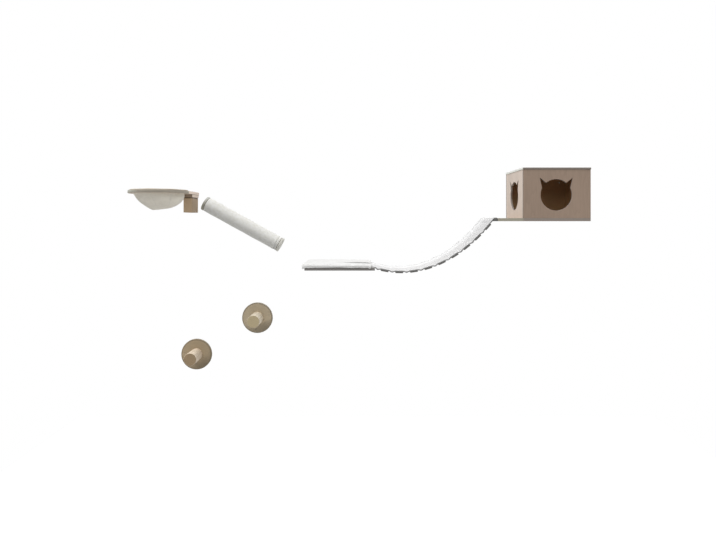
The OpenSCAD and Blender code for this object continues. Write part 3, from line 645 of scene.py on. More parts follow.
def snap_rows(material):
    """Snap fasteners: a domed cap with a rolled rim, on a post."""
    row = Row("snap_fasteners", {"Cap": 0.012, "Height": 0.003, "Post": 0.011})
    cap, height, post = row.sizes
    dome = row.button(24, cap * 0.82, height * 1.1, height * 0.45)
    rim = row.button(24, cap, height * 0.56, height * 0.28)
    stem = {"Vertices": 12, "Radius": 0.0018, "Depth": post}
    stem = row.raised(row.node("GeometryNodeMeshCylinder", values=stem), post * -0.5 + 0.001)
    return row.done(row.joined(dome, rim, stem), row.facing(3, 0.0), material)


def tack_rows(material):
    """Cloth-covered button tacks on cup washers."""
    row = Row("deck_tacks", {"Washer": 0.011, "Head": 0.0065, "Shank": 0.010})
    washer, head, shank = row.sizes
    cup = row.cone(20, washer * 0.34, washer * 0.5, 0.0012)
    button = row.button(16, head, head * 0.42, 0.0011)
    nail = row.cone(8, 0.0009, 0.0003, shank, shank * -1.0)
    return row.done(row.joined(cup, button, nail), row.facing(5, TURN), material)


def stitch_rows(material):
    """Stitches along lines, each a short plump loop of thread."""
    row = Row("stitches", {"Pitch": 0.0055, "Stitch": 0.0040, "Thread": 0.0009})
    pitch, stitch, thread = row.sizes
    curve = row.node("GeometryNodeMeshToCurve", values={0: row.places})
    spaced = row.node("GeometryNodeResampleCurve", {"mode": "LENGTH"},
                      {"Curve": curve, "Length": pitch})
    along = row.node("GeometryNodeInputTangent")
    rotation = row.node("FunctionNodeAlignRotationToVector", {"axis": "X"}, {"Vector": along})
    ball = row.node("GeometryNodeMeshIcoSphere", values={"Radius": 0.5, "Subdivisions": 1})
    loop = row.raised(ball, 0.0, row.vector(stitch, thread, thread))
    return row.done(loop, rotation, material, spaced)


def sewn(name, lines):
    """Stitches along several lines of points."""
    places, edges = [], []
    for line in lines:
        first = len(places)
        places += [(point, (0, 0, 1)) for point in line]
        edges += [(i, i + 1) for i in range(first, len(places) - 1)]
    piece = made_on(stitches, name, places, edges)
    return piece


# Colours

# Painted light and shade: the house's front is a darker, shaded copy of the birch of its sides,
# which are a lit copy
HOUSE_FRONT_SHADED = (0.395, 0.288, 0.217)
HOUSE_SIDE_LIT = (0.76, 0.64, 0.55)
# Painted shade inside the house, and painted light on its floor
HOUSE_INSIDE_SHADED = (0.455, 0.283, 0.146)
INSIDE_FLOOR_LIT = (0.755, 0.56, 0.345)
# Painted light on the lit end faces of the hoop, the packing and the roof
LIT_END_TONE = (0.95, 0.80, 0.68)
ROOF_END_LIT = (0.94, 0.95, 0.88)
# Painted light on the base's edge in front of the porch and on the hoop's edge at its left end
PORCH_EDGE_LIT = (0.45, 0.42, 0.336)
HOOP_EDGE, HOOP_LEFT_EDGE_LIT = (0.47, 0.42, 0.345), (0.53, 0.525, 0.452)
PACKING_EDGE = (0.385, 0.29, 0.21)
SHELF_EDGE = (0.275, 0.26, 0.248)
BATTEN_FACE, BATTEN_EDGE = (0.78, 0.77, 0.75), (0.15, 0.148, 0.14)
PLY_FACE = written(190, 174, 156)
PLY_EDGE = written(155, 144, 135)
SHELF_FACE = written(140, 131, 122)
UPPER_PINE, LOWER_PINE = (0.60, 0.50, 0.35), (0.46, 0.36, 0.23)
UPPER_PEG, UPPER_PEG_END = (0.92, 0.81, 0.64), (0.56, 0.46, 0.28)
LOWER_PEG, LOWER_PEG_END = (0.77, 0.64, 0.49), (0.35, 0.25, 0.145)
# Painted light: the beam's front and back faces are far lighter than its darker sides
BLOCK_PINE, BLOCK_FRONT_LIT = (0.312, 0.20, 0.09), (0.56, 0.41, 0.265)
# Painted shade: the slats' grey wood, and its darker ends, stand for the shade under the deck
SLAT_WOOD_SHADED, SLAT_END_SHADED = (0.36, 0.335, 0.30), (0.18, 0.173, 0.163)
DOWEL_BEECH, DOWEL_LATE = (0.55, 0.43, 0.29), (0.40, 0.29, 0.18)
# Painted shade: the core's wood is dark grey, for the shade in the gaps between the cover's ends
# and the caps
CORE_WOOD_SHADED, CORE_LATE_SHADED = (0.20, 0.18, 0.14), (0.14, 0.12, 0.09)
FLEECE, FLEECE_SHADE = (0.885, 0.882, 0.872), (0.775, 0.768, 0.745)
PLUSH, PLUSH_SHADE = (0.92, 0.915, 0.89), (0.80, 0.79, 0.71)
# The deck's cream is a shaded tone, and painted light lifts it towards the wall
DECK_CREAM, DECK_LIT = (0.72, 0.715, 0.715), (0.88, 0.88, 0.88)
# Painted shade: the front tape's dark grey stands for the shade under the deck's front edge
BINDING_SHADED = (0.31, 0.307, 0.302)
CANVAS, CANVAS_SHADE = (0.93, 0.875, 0.76), (0.83, 0.78, 0.67)
# Painted shade: the upper cap's felt is a dark copy of a light felt, with painted light on its top
UPPER_FELT_SHADED, UPPER_FELT_LIT = (0.38, 0.37, 0.305), (0.62, 0.62, 0.58)
LOWER_FELT, LOWER_FELT_SHADE = (0.70, 0.69, 0.63), (0.60, 0.59, 0.54)

# Painted light towards the wall, on the deck and its tape
LIT_NEAR_WALL = (DECK_LIT, -0.22, -0.09)

zinc = worn_metal("zinc_plate", (0.66, 0.67, 0.69), 0.30, 70)
nickel = worn_metal("snap_nickel", (0.72, 0.71, 0.69), 0.22, 160)
thread = twisted_thread("sewing_thread", (0.90, 0.895, 0.87))
fleece = pile_cloth("cushion_fleece", FLEECE, FLEECE_SHADE, 620, 75, 0.0016)
plush = pile_cloth("post_plush", PLUSH, PLUSH_SHADE, 480, 55, 0.0020, 0.15)
pale_felt = pile_cloth("lower_cap_felt", LOWER_FELT, LOWER_FELT_SHADE, 700, 90, 0.0010, 0.1)
deck_cloth = woven_cloth("deck_canvas", DECK_CREAM, toned(DECK_CREAM, 0.93), 0.0013, 0.0002,
                         LIT_NEAR_WALL)
tack_cloth = pile_cloth("tack_canvas", DECK_CREAM, toned(DECK_CREAM, 0.9), 1500, 300, 0.0003, 0.1)
binding_tape = woven_cloth("edge_binding", BINDING_SHADED, toned(BINDING_SHADED, 0.7), 0.0009, 0.0002, LIT_NEAR_WALL)
bag_cloth = woven_cloth("bag_canvas", CANVAS, CANVAS_SHADE, 0.0011, 0.0003)

screws = screw_rows(zinc)
snaps = snap_rows(nickel)
tacks = tack_rows(tack_cloth)
stitches = stitch_rows(thread)


# House and platform

BOARD_EASE, HOOP_EASE = 0.0009, 0.003
HEAD_PROUD = 0.00005
PAD_SCREW_X, PAD_SCREW_Y = -2.265, (-0.03625, -0.10875)


def middle(node):
    low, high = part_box(node)
    return (low + high) / 2


def ply_board(node, name, grain, through, face, edge, seed, ease=BOARD_EASE, lit_end_way=None,
              end=None, lit_left=None):
    low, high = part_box(node)
    axis = "XYZ".index(through)
    inside_shade = HOUSE_INSIDE_SHADED if node.startswith("house") else None
    material = birch_ply("birch_" + name, grain, through, low[axis], high[axis], face, edge,
                         seed, inside_shade, end, lit_left)
    eased(node, name, material, ease, through=through, lit_end_way=lit_end_way)


def build_boards():
    # Painted light and shade: the boards' cut edges are darker and lighter copies of one edge tone
    shaded_front_edge, shaded_roof_edge, lit_base_edge = (toned(PLY_EDGE, share) for share in (0.8, 0.85, 1.1))
    ply_board("house_front_panel", "house_front", "Z", "Y", HOUSE_FRONT_SHADED, shaded_front_edge, 1)
    ply_board("house_left_panel", "house_left_side", "Z", "X", HOUSE_SIDE_LIT, lit_base_edge, 2)
    ply_board("house_right_panel", "house_right_side", "Z", "X", HOUSE_SIDE_LIT, PLY_EDGE, 3)
    ply_board("house_back_panel", "house_back", "X", "Y", PLY_FACE, PLY_EDGE, 4)
    ply_board("house_roof_panel", "house_roof", "Y", "Z", PLY_FACE, shaded_roof_edge, 5,
              lit_end_way=-1, end=ROOF_END_LIT)
    ply_board("house_base_panel", "house_base", "X", "Z", PLY_FACE, lit_base_edge, 6,
              lit_left=(-0.21, -0.19, PORCH_EDGE_LIT))
    ply_board("platform_board", "platform_shelf", "X", "Z", SHELF_FACE, SHELF_EDGE, 7)
    ply_board("bridge_platform_batten", "platform_batten", "Y", "Z", BATTEN_FACE, SHELF_EDGE, 8)
    ply_board("bridge_house_batten", "porch_batten", "Y", "Z", PLY_FACE, BATTEN_EDGE, 9)
    ply_board("hammock_ring", "hammock_hoop", "X", "Z", PLY_FACE, HOOP_EDGE, 10, HOOP_EASE,
              lit_end_way=1, end=LIT_END_TONE, lit_left=(-2.54, -2.47, HOOP_LEFT_EDGE_LIT))
    ply_board("hammock_packer", "hammock_packing", "X", "Z", PLY_FACE, PACKING_EDGE, 11,
              lit_end_way=1, end=LIT_END_TONE)


def panel_screw_places():
    """Middles of the house's screws' heads and the directions they face."""
    side_x, front_y, back_y, mid_y, step = 0.194, -0.394, -0.006, -0.2, 0.1
    plan = [(x, mid_y + way * step) for x in (-side_x, side_x) for way in (-1, 1)]
    plan += [(way * step, y) for y in (front_y, back_y) for way in (-1, 1)]
    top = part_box("house_roof_panel")[1].z + HEAD_PROUD
    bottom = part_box("house_base_panel")[0].z - HEAD_PROUD
    return [((x, y, z), (0, 0, way)) for z, way in ((top, 1), (bottom, -1)) for x, y in plan]


def batten_screw_places():
    right_of_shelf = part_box("bridge_platform_batten")[1].x + HEAD_PROUD
    left_of_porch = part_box("bridge_house_batten")[0].x - HEAD_PROUD
    ends = ((right_of_shelf, middle("bridge_platform_batten").z, 1),
            (left_of_porch, middle("bridge_house_batten").z, -1))
    count, first_y, step = 4, -0.05, 0.1
    return [((x, first_y - step * i, z), (way, 0, 0)) for i in range(count) for x, z, way in ends]


def build_screws():
    pad = [((PAD_SCREW_X, y, RING_TOP + HEAD_PROUD), (0, 0, 1)) for y in PAD_SCREW_Y]
    pad_sizes = {"Shank": 0.005, "Length": 0.06, "Recess": 0.0011}
    for name, node, places, sizes in (
            ("panel_screws", "house_panel_screws", panel_screw_places(), None),
            ("batten_screws", "bridge_batten_screws", batten_screw_places(), {"Length": 0.045}),
            ("hoop_screws", "hammock_ring_screws", pad, pad_sizes)):
        fasten(made_on(screws, name, places, sizes=sizes), node)


# Solid wood

DISC_R, DISC_RIM = 0.1, 0.006
SHADE_OUT, SHADE_REACH = 0.045, 0.035
STEP_EASE, STEP_HOLE = 0.0012, 0.06
BLOCK_EASE, SADDLE_EASE, SLAT_EASE = 0.0015, 0.0010, 0.0018
SLATS = 9


def build_steps():
    for title, disc_tone, peg_tone, peg_end, lean, shade_turn, seed in (
            ("upper", UPPER_PINE, UPPER_PEG, UPPER_PEG_END, 0.35, math.radians(-75), 1),
            ("lower", LOWER_PINE, LOWER_PEG, LOWER_PEG_END, -0.25, math.radians(-55), 2)):
        disc, peg = f"step_{title}_disc", f"step_{title}_peg"
        mid = middle(disc)
        shade_way = Vector((math.cos(shade_turn), 0, math.sin(shade_turn)))
        wood = ringed_wood(title + "_disc_pine", "X", (mid.x, 0.03, mid.z - 0.03), disc_tone,
                           0.006, seed, turn=(0, lean, 0), rim=(mid, DISC_R, DISC_RIM),
                           shaded_side=(mid + shade_way * SHADE_OUT, shade_way, SHADE_REACH))
        eased(disc, title + "_disc", wood, STEP_EASE, small_hole=STEP_HOLE)
        mid = middle(peg)
        wood = ringed_wood(title + "_peg_pine", "Y", (mid.x + 0.012, 0, mid.z - 0.016), peg_tone,
                           0.0042, seed + 5, end=peg_end)
        eased(peg, title + "_peg", wood, STEP_EASE, small_hole=STEP_HOLE,
              grain="Y")


def build_blocks():
    mid = middle("hammock_block")
    # Painted shadow on the beam's top, under the packing
    wood = ringed_wood("block_pine", "Y", (mid.x + 0.05, 0, mid.z - 0.09), BLOCK_PINE, 0.005, 9,
                       end=BLOCK_FRONT_LIT, joint=-0.01)
    eased("hammock_block", "hammock_beam", wood, BLOCK_EASE, grain="Y")
    wood = ringed_wood("saddle_pine", "Y", (-1.95, 0, -0.3), BLOCK_PINE, 0.005, 11)
    eased("post_wall_blocks", "post_saddles", wood, SADDLE_EASE)


def build_slats():
    for k in range(1, SLATS + 1):
        mid = middle(f"bridge_slat_{k}")
        pith = (mid.x + 0.02 * math.sin(k * 2.3), 0, mid.z - 0.05 - 0.02 * math.cos(k * 1.7))
        tone = toned(SLAT_WOOD_SHADED, 1 + 0.05 * math.sin(k * 4.1))
        wood = ringed_wood(f"slat_wood_{k}", "Y", pith, tone, 0.0045, 20 + k,
                           late=toned(tone, 0.7), end=SLAT_END_SHADED)
        eased(f"bridge_slat_{k}", f"slat_{k}_lath", wood, SLAT_EASE, 3,
              body=f"slat_{k}", grain="Y")


# Hanging deck

DECK_FROM = Vector((-1.079, -0.437))
DECK_TO = Vector((-0.368, -0.144))
DECK_SLACK = 0.051
SLAT_MARGIN, SLAT_W = 0.062, 0.046
OPENED = 5
BATTEN_LAP = 0.0177
DECK_FRONT, DECK_BACK = -0.380, -0.020
DECK_MID_Y = (DECK_FRONT + DECK_BACK) / 2
DECK_THICK = 0.0017
HEM_W, HEM_LIFT, HEM_SEAM_IN = 0.022, 0.0019, 0.004
SEAT = 0.0001
SAG, RIPPLE, HELD_RIPPLE = 0.0022, 0.0014, 0.0003
EDGE_REACH, EDGE_DRAW = 0.03, 0.0016
EDGE_ROLL, ROLL_REACH = 0.0022, 0.006
PORCH_CROWN, CROWN_BEFORE, CROWN_REACH = 0.006, 0.016, 0.014
BIND_Y, BIND_Z, BIND_LOW = 0.0014, 0.0036, -0.0013
BIND_SIDES, TAPE_CUT = 10, 0.0012
TAPE_ACROSS, TAPE_ALONG = 0.0012, 0.004
TACK_IN = 0.011

deck_chord = DECK_TO - DECK_FROM
deck_length = deck_chord.length + DECK_SLACK


def solve_hang(ratio, low=0.001, high=8.0, turns=60):
    """Value u at which sinh(u) / u is a given ratio, found by halving an interval."""
    for _ in range(turns):
        u = (low + high) / 2
        low, high = (u, high) if math.sinh(u) / u < ratio else (low, u)
    return u


hang_u = solve_hang(math.sqrt(deck_length ** 2 - deck_chord.y ** 2) / deck_chord.x)
hang_scale = deck_chord.x / (2 * hang_u)
hang_low = deck_chord.x / 2 - hang_scale * math.atanh(deck_chord.y / deck_length)


def hang_point(s):
    """Point of the hanging curve at a distance along the deck, in x and z."""
    x = hang_low + hang_scale * math.asinh(s / hang_scale - math.sinh(hang_low / hang_scale))
    rise = math.cosh((x - hang_low) / hang_scale) - math.cosh(hang_low / hang_scale)
    return DECK_FROM + Vector((x, hang_scale * rise))


def slat_middle(k):
    return SLAT_MARGIN + (k - 1) * (deck_length - 2 * SLAT_MARGIN) / (SLATS - 1)


def slat_start(k):
    return DECK_TO if k > SLATS else hang_point(slat_middle(k) - SLAT_W / 2)


def slat_end(k):
    return DECK_FROM if k < 1 else hang_point(slat_middle(k) + SLAT_W / 2)


def point_between(a, b, share):
    """Point of the line from a to b, and its normal on the upper side."""
    d = b - a
    return a + d * share, Vector((-d.y, d.x)).normalized()


def deck_line(k):
    """The deck from the middle of slat k to the middle of the next: points, normals and how
    free each is of the slats."""
    lap = Vector((BATTEN_LAP, 0))
    held = (slat_start(k), slat_end(k), 0.5, 1) if k else (DECK_FROM - lap, DECK_FROM, 0, 1)
    hanging = (slat_end(k), slat_start(k + 1), 0, 1)
    rest = (slat_start(k + 1), slat_end(k + 1), 0, 0.5)
    if k == SLATS:
        rest = (DECK_TO, DECK_TO + lap, 0, 1)
    line = []
    for part in (held, hanging, rest):
        a, b, first, last = part
        steps = 10 if part is hanging else 4
        for i in range(1 if line else 0, steps + 1):
            share = first + (last - first) * i / steps
            free = math.sin(math.pi * share) ** 2 if part is hanging else 0.0
            line.append((*point_between(a, b, share), free))
    ups = [up for _, up, _ in line]
    mixed = [sum(near, Vector((0, 0))).normalized() for near in zip(ups, ups[1:], ups[2:])]
    mixed = [ups[0], *mixed, ups[-1]]
    return [(point, up, free) for (point, _, free), up in zip(line, mixed)]


def deck_columns():
    """The cloth across the bridge from one folded hem to the other: y and height."""
    front, turn, count = DECK_FRONT + DECK_THICK / 2, HEM_LIFT / 2, 20
    hem = [(front + HEM_W * share, HEM_LIFT) for share in (1, 0.66, 0.33)]
    hem += [(front + turn, HEM_LIFT), (front + turn * 0.3, HEM_LIFT * 0.85), (front, turn),
            (front + turn * 0.3, HEM_LIFT * 0.15), (front + turn, 0)]
    hem += [(front + HEM_W * share, 0) for share in (0.35, 0.7, 1.05)]
    mirrored = [(DECK_FRONT + DECK_BACK - y, h) for y, h in reversed(hem)]
    inner_y = hem[-1][0]
    gap = (mirrored[0][0] - inner_y) / (count + 1)
    return hem + [(inner_y + gap * (i + 1), 0) for i in range(count)] + mirrored


COLUMNS = deck_columns()


def deck_point(point, up, free, y, height):
    """A point of the deck's cloth, which sags and ripples where no slat holds it."""
    to_edge = (DECK_BACK - DECK_FRONT) / 2 - abs(y - DECK_MID_Y)
    ripple = noise.noise(Vector((point.x * 24, y * 16, point.y * 24)))
    edge = math.exp(-to_edge / EDGE_REACH)
    drop = free * (SAG * (0.7 + 0.9 * edge) + RIPPLE * ripple)
    draw = free * EDGE_DRAW * edge * (1 if y < DECK_MID_Y else -1)
    roll = EDGE_ROLL * free * math.exp(-to_edge / ROLL_REACH)
    to_crown = (point.x - DECK_TO.x + CROWN_BEFORE) / CROWN_REACH
    crown = free * PORCH_CROWN * math.exp(-to_crown ** 2)
    lift = SEAT + DECK_THICK / 2 + height + crown - drop - roll
    place = point + up * (lift + HELD_RIPPLE * ripple * (1 - free))
    return (place.x, y + draw, place.y)


def bound_edges(name, line, open_end=None):
    """Tape folded round the cloth's two long edges. At an open end it stops short."""
    around = [TURN * i / BIND_SIDES for i in range(BIND_SIDES)]
    if open_end is not None:
        line = list(line)
        (end, up, free), near = line[open_end], line[-2 if open_end else 1][0]
        line[open_end] = (end + (near - end).normalized() * TAPE_CUT, up, free)
    tapes = []
    for side, y in (("front", DECK_FRONT - BIND_Y * 0.85), ("back", DECK_BACK + BIND_Y * 0.85)):
        rows = [[Vector(deck_point(*place, y + BIND_Y * math.cos(a),
                                   BIND_LOW + BIND_Z * math.sin(a))) for a in around]
                for place in line]
        first, last = ([sum(row, Vector()) / len(row)] * len(row) for row in (rows[0], rows[-1]))
        rows = [first, *rows, last]
        cloth = [[(TAPE_ACROSS * j, TAPE_ALONG * i) for j in range(BIND_SIDES + 1)]
                 for i in range(len(rows))]
        tape = skin(f"{name}_tape_{side}", rows, cloth, binding_tape, loop=True)
        smooth_by_angle(tape.data, 50)
        tapes.append(tape)
    front, back = tapes
    shape = bmesh.new()
    for tape in tapes:
        shape.from_mesh(tape.data)
    shape.to_mesh(front.data)
    shape.free()
    bpy.data.objects.remove(back)
    front.name = name + "_binding"
    return front


def hang_strip(name, node, line, ride, open_end=None):
    """One strip of the deck, with its stitches and tape, which ride as it does."""
    rows = [[deck_point(*place, y, height) for y, height in COLUMNS] for place in line]
    down, across = [0.0], [0.0]
    for (a, _, _), (b, _, _) in zip(line, line[1:]):
        down.append(down[-1] + (b - a).length)
    for a, b in zip(COLUMNS, COLUMNS[1:]):
        across.append(across[-1] + math.hypot(b[0] - a[0], b[1] - a[1]))
    start = line[0][0].x * 1.1
    cloth = [[(start + s, w) for w in across] for s in down]
    piece = thicken(skin(name, rows, cloth, deck_cloth), DECK_THICK)
    seams = [[deck_point(*place, y, HEM_LIFT + DECK_THICK / 2) for place in line]
             for y in (DECK_FRONT + HEM_W - HEM_SEAM_IN, DECK_BACK - HEM_W + HEM_SEAM_IN)]
    trim = [sewn(name + "_stitches", seams), bound_edges(name, line, open_end)]
    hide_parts(node)
    for part in (piece, *trim):
        ride(part)


def row_point(point):
    return (point.x, DECK_MID_Y, point.y)


def body_of_slat(k):
    return f"slat_{k}" if 1 <= k <= SLATS else WALL


def build_deck():
    """A strip from each slat to the next. Between the two halves of the bridge's chain of
    bodies the strip is cut, and each part rides on its own slat."""
    for k in range(SLATS + 1):
        line, name = deck_line(k), f"deck_span_{k}"
        if k == OPENED:
            half = len(line) // 2
            for side, part, slat, open_end in (("left", line[:half + 1], k, -1),
                                               ("right", line[half:], k + 1, 0)):
                hang_strip(f"{name}_{side}", f"bridge_deck_{slat}", part,
                           lambda piece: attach(piece, body_of_slat(slat)), open_end)
            continue
        node = f"bridge_deck_{k if k < OPENED else k + 1}"
        if k in (0, SLATS):
            node = "bridge_deck_house_end" if k else "bridge_deck_platform_end"
        start, end = row_point(slat_end(k)), row_point(slat_start(k + 1))
        hang_strip(name, node, line,
                   lambda piece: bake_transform(piece, body_of_slat(k), body_of_slat(k + 1),
                                          start=start, end=end))


def build_tacks():
    for k in range(1, SLATS + 1):
        point, up = point_between(slat_start(k), slat_end(k), 0.5)
        places = []
        for y, hem in ((DECK_FRONT + TACK_IN, HEM_LIFT), (DECK_MID_Y, 0),
                       (DECK_BACK - TACK_IN, HEM_LIFT)):
            top = point + up * (SEAT + DECK_THICK + hem)
            places.append(((top.x, y, top.y), (up.x, 0, up.y)))
        fasten(made_on(tacks, f"slat_{k}_tacks", places), body=f"slat_{k}")


# Cushion

CUSHION_X, CUSHION_Y, CUSHION_Z = (-1.5155, -1.0968), (-0.4040, -0.0010), (-0.4368, -0.4100)
BEFORE_SWELLING = (0.985, 0.985, 0.88)
CUSHION_VOXEL, CUSHION_PRESSURE, MOST_SWELL, SWELL_FRAMES = 0.0042, 4.0, 0.004, 20
SEAM_AT, SEAM_REACH, SEAM_DRAW, SEAM_SHADE = 0.40, 0.09, 0.0013, 0.06
FOLD_X, FOLD_Y = (-1.345, -1.165), -0.3215
FOLD_RISE, FOLD_BACK_REACH = 0.0032, 0.045
FOLD_DROP, FOLD_FRONT_DROP = 0.0006, 0.0026
FOLD_SHADE, FOLD_SHADE_W, FOLD_SHADE_END = 0.95, 0.0026, (-1.118, -1.103)
TOP_RIPPLE = 0.0016
BOARD_LEFT, BOARD_FRONT = -1.4985, -0.4001
LEFT_LIP, FRONT_LIP, CORNER_LIP = 0.0075, 0.0045, 0.0085
FRONT_SQUARE = 0.009
FRONT_LEAN, FRONT_SINK = 0.008, 0.0012


def smooth_step(values, low, high):
    share = np.clip((values - low) / (high - low), 0, 1)
    return share * share * (3 - 2 * share)


def points_of(piece):
    return np.array([v.co for v in piece.data.vertices])


def move_to(piece, points):
    piece.data.vertices.foreach_set("co", points.astype(np.float32).ravel())


def swell(piece):
    """Swells a closed shape as filled cloth, and stops each point after a set distance."""
    piece.data.remesh_voxel_size = CUSHION_VOXEL
    remesh = piece.modifiers.new("even_mesh", "REMESH")
    remesh.mode, remesh.voxel_size = "VOXEL", CUSHION_VOXEL
    settle(piece)
    before = points_of(piece)
    filling = piece.modifiers.new("filling", "CLOTH").settings
    filling.quality = 6
    filling.mass = 0.3
    filling.tension_stiffness = filling.compression_stiffness = 12
    filling.bending_stiffness = 0.6
    filling.use_pressure = True
    filling.uniform_pressure_force = CUSHION_PRESSURE
    filling.effector_weights.gravity = 0
    for step in range(1, SWELL_FRAMES + 1):
        bpy.context.scene.frame_set(step)
    settle(piece)
    bpy.context.scene.frame_set(1)
    move = points_of(piece) - before
    far = np.linalg.norm(move, axis=1, keepdims=True)
    move_to(piece, before + move * np.minimum(1, MOST_SWELL / np.maximum(far, 1e-9)))
    rounded = piece.modifiers.new("rounding", "SUBSURF")
    rounded.levels = rounded.render_levels = 1
    settle(piece)


def square_corners(co, mid, half, plan=9, wanted=24):
    """Draws the corners out, from one superellipse in plan to a squarer one."""
    u, v = (co[:, 0] - mid.x) / half.x, (co[:, 1] - mid.y) / half.y
    angle = np.arctan2(v, u)

    def edge(power):
        return (abs(np.cos(angle)) ** power + abs(np.sin(angle)) ** power) ** (-1 / power)

    out = np.hypot(u, v) / edge(plan)
    grown = 1 + (edge(wanted) / edge(plan) - 1) * out ** 2
    co[:, 0] = mid.x + half.x * u * grown
    co[:, 1] = mid.y + half.y * v * grown


def shape_cushion(co, mid, half):
    """Shapes the filled cushion's points in place, and tells how much painted shade each one
    gets, in the fold and along the side seam.
    """
    reach = (CUSHION_X, CUSHION_Y, CUSHION_Z)
    for values, (first, last) in zip(co.T, reach):
        low, high = values.min(), values.max()
        values[:] = first + (values - low) * (last - first) / (high - low)
    square_corners(co, mid, half)
    for values, (first, last) in zip(co.T[:2], reach):
        values[:] = np.clip(values, first, last)
    x, y, z = co.T
    bottom, top = CUSHION_Z
    height = (z - bottom) / (top - bottom)
    on_top = smooth_step(height, 0.45, 0.75)
    # The seam round the middle of the sides draws them in
    out_x, out_y = (x - mid.x) / half.x, (y - mid.y) / half.y
    at_side = smooth_step(np.maximum(abs(out_x), abs(out_y)), 0.955, 0.985)
    seam = np.exp(-((height - SEAM_AT) / SEAM_REACH) ** 2) * at_side
    x -= out_x * SEAM_DRAW * seam
    y -= out_y * SEAM_DRAW * seam
    # A fold across the top, from the middle to the right end: the part behind it stands higher
    fold = smooth_step(x, *FOLD_X) * on_top
    before = 1 - smooth_step(y, FOLD_Y - 0.0030, FOLD_Y + 0.0025)
    behind = (1 - before) * np.exp(-np.clip(y - FOLD_Y, 0, 1) / FOLD_BACK_REACH)
    drop = FOLD_DROP + FOLD_FRONT_DROP * smooth_step(y, -0.398, -0.375)
    z += fold * (FOLD_RISE * behind - before * drop)
    ripple = np.array([noise.noise(Vector(9 * point)) for point in co])
    z += TOP_RIPPLE * ripple * on_top
    # Beyond the board's left and front edges the cushion hangs down a little
    z -= LEFT_LIP * smooth_step(-x, 1.499, 1.516) * (1 - 0.35 * height)
    squared = (1 - height) * smooth_step(-y, 0.375, 0.395)
    y[:] = np.maximum(y - FRONT_SQUARE * squared, CUSHION_Y[0])
    over_front = smooth_step(-y, 0.4003, 0.4025)
    # The front leans back towards its top edge
    leaning = smooth_step(height, 0.40, 0.95) * smooth_step(-y, 0.372, 0.402)
    y += FRONT_LEAN * leaning
    z -= FRONT_SINK * leaning
    at_corner = smooth_step(abs(out_x), 0.88, 0.96)
    z -= (FRONT_LIP + CORNER_LIP * at_corner) * over_front * (1 - height)
    resting = (x > BOARD_LEFT) & (y > BOARD_FRONT)
    z[resting] = np.maximum(z[resting], bottom + SEAT)
    # Painted shade in the fold and along the side seam
    in_fold = np.exp(-((y - FOLD_Y + 0.0004) / FOLD_SHADE_W) ** 2) * fold
    to_end = 1 - smooth_step(x, *FOLD_SHADE_END)
    return np.clip((FOLD_SHADE * in_fold + SEAM_SHADE * seam) * to_end, 0, 1)


def build_cushion():
    low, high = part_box("platform_cushion")
    mid = (low + high) / 2
    piece = link("cushion", closed_mesh(merged_copy("platform_cushion"), "cushion"))
    base = np.array([mid.x, mid.y, low.z])
    move_to(piece, base + (points_of(piece) - base) * BEFORE_SWELLING)
    swell(piece)
    co = points_of(piece)
    painted_shade = shape_cushion(co, mid, (high - low) / 2)
    move_to(piece, co)
    set_values(piece.data, "painted_shade", "POINT", painted_shade)
    smooth_by_angle(piece.data, 80)
    piece.data.materials.clear()
    piece.data.materials.append(fleece)
    fasten(piece, "platform_cushion")


# Hammock bag

RING_MID = Vector((-2.410, -0.250))
RING_TOP, RING_UNDER = 0.026, 0.008
RING_HOLE_R = 0.150
BAG_RIM_R, BAG_FLOOR_R = 0.1497, 0.065
BAG_DEPTH, BAG_SHIFT, BAG_TILT = 0.093, 0.020, 0.008
BELLY_LEFT, BELLY_RIGHT = 0.013, 0.021
BAG_CLOTH, BAG_MEASURE_R = 0.0018, 0.12
BAG_STEPS, BAG_SIDES = 18, 144
SNAPS, SNAP_R, FLANGE_R = 8, 0.161, 0.172
RIM_LOWER = RING_TOP + SEAT + BAG_CLOTH / 2
RIM_UPPER = RIM_LOWER + BAG_CLOTH + 0.0001
RIM_PUFF = 0.0034
GORE_REACH, GORE_DRAW, GORE_SHADE, GORE_SEAM_TURN = 0.030, 0.0030, 0.05, 0.040
FLOOR_SHADE = 0.16
FLANGE_SEAMS = (0.1578, 0.1672)


def between_snaps(a):
    """0 at a snap and 1 half way between two."""
    return math.sin(SNAPS / 2 * (a - math.pi / SNAPS)) ** 2


def rim_lift(a, r):
    out = min(max((r - RING_HOLE_R) / (FLANGE_R - RING_HOLE_R), 0), 1)
    crown = math.sin(math.pi * min(out * 1.15, 1) * 0.85) ** 1.2
    return RIM_PUFF * crown * (0.55 + 0.45 * between_snaps(a))


def near_gore(a):
    """1 on a gore's seam, which runs half way between two snaps."""
    step = TURN / SNAPS
    off = abs((a + step / 2) % step - step / 2)
    return math.exp(-(off / GORE_REACH) ** 2)


def bag_side(a, t):
    """Radius and height of the bag's side, t from the ring's underside to the floor."""
    belly = BELLY_LEFT + (BELLY_RIGHT - BELLY_LEFT) * (1 + math.cos(a)) / 2
    r = BAG_RIM_R + (BAG_FLOOR_R - BAG_RIM_R) * t + belly * math.sin(math.pi * t) - BAG_CLOTH / 2
    z = RING_UNDER + t * (BAG_TILT * math.cos(a) - BAG_DEPTH) + BAG_CLOTH / 2
    arch = math.sin(math.pi * min(t, 1))
    r += 0.0016 * math.exp(-t / 0.22) * arch * 2 * math.cos(2 * SNAPS * a)
    r += arch * (0.0022 * between_snaps(a + math.pi / SNAPS) - GORE_DRAW * near_gore(a))
    ripple = noise.noise(Vector((math.cos(a) * 2.6, math.sin(a) * 2.6, t * 3.1)))
    r += 0.0030 * arch * ripple
    r -= 0.0060 * max(0.0, (t - 0.84) / 0.16) ** 2
    return r, z


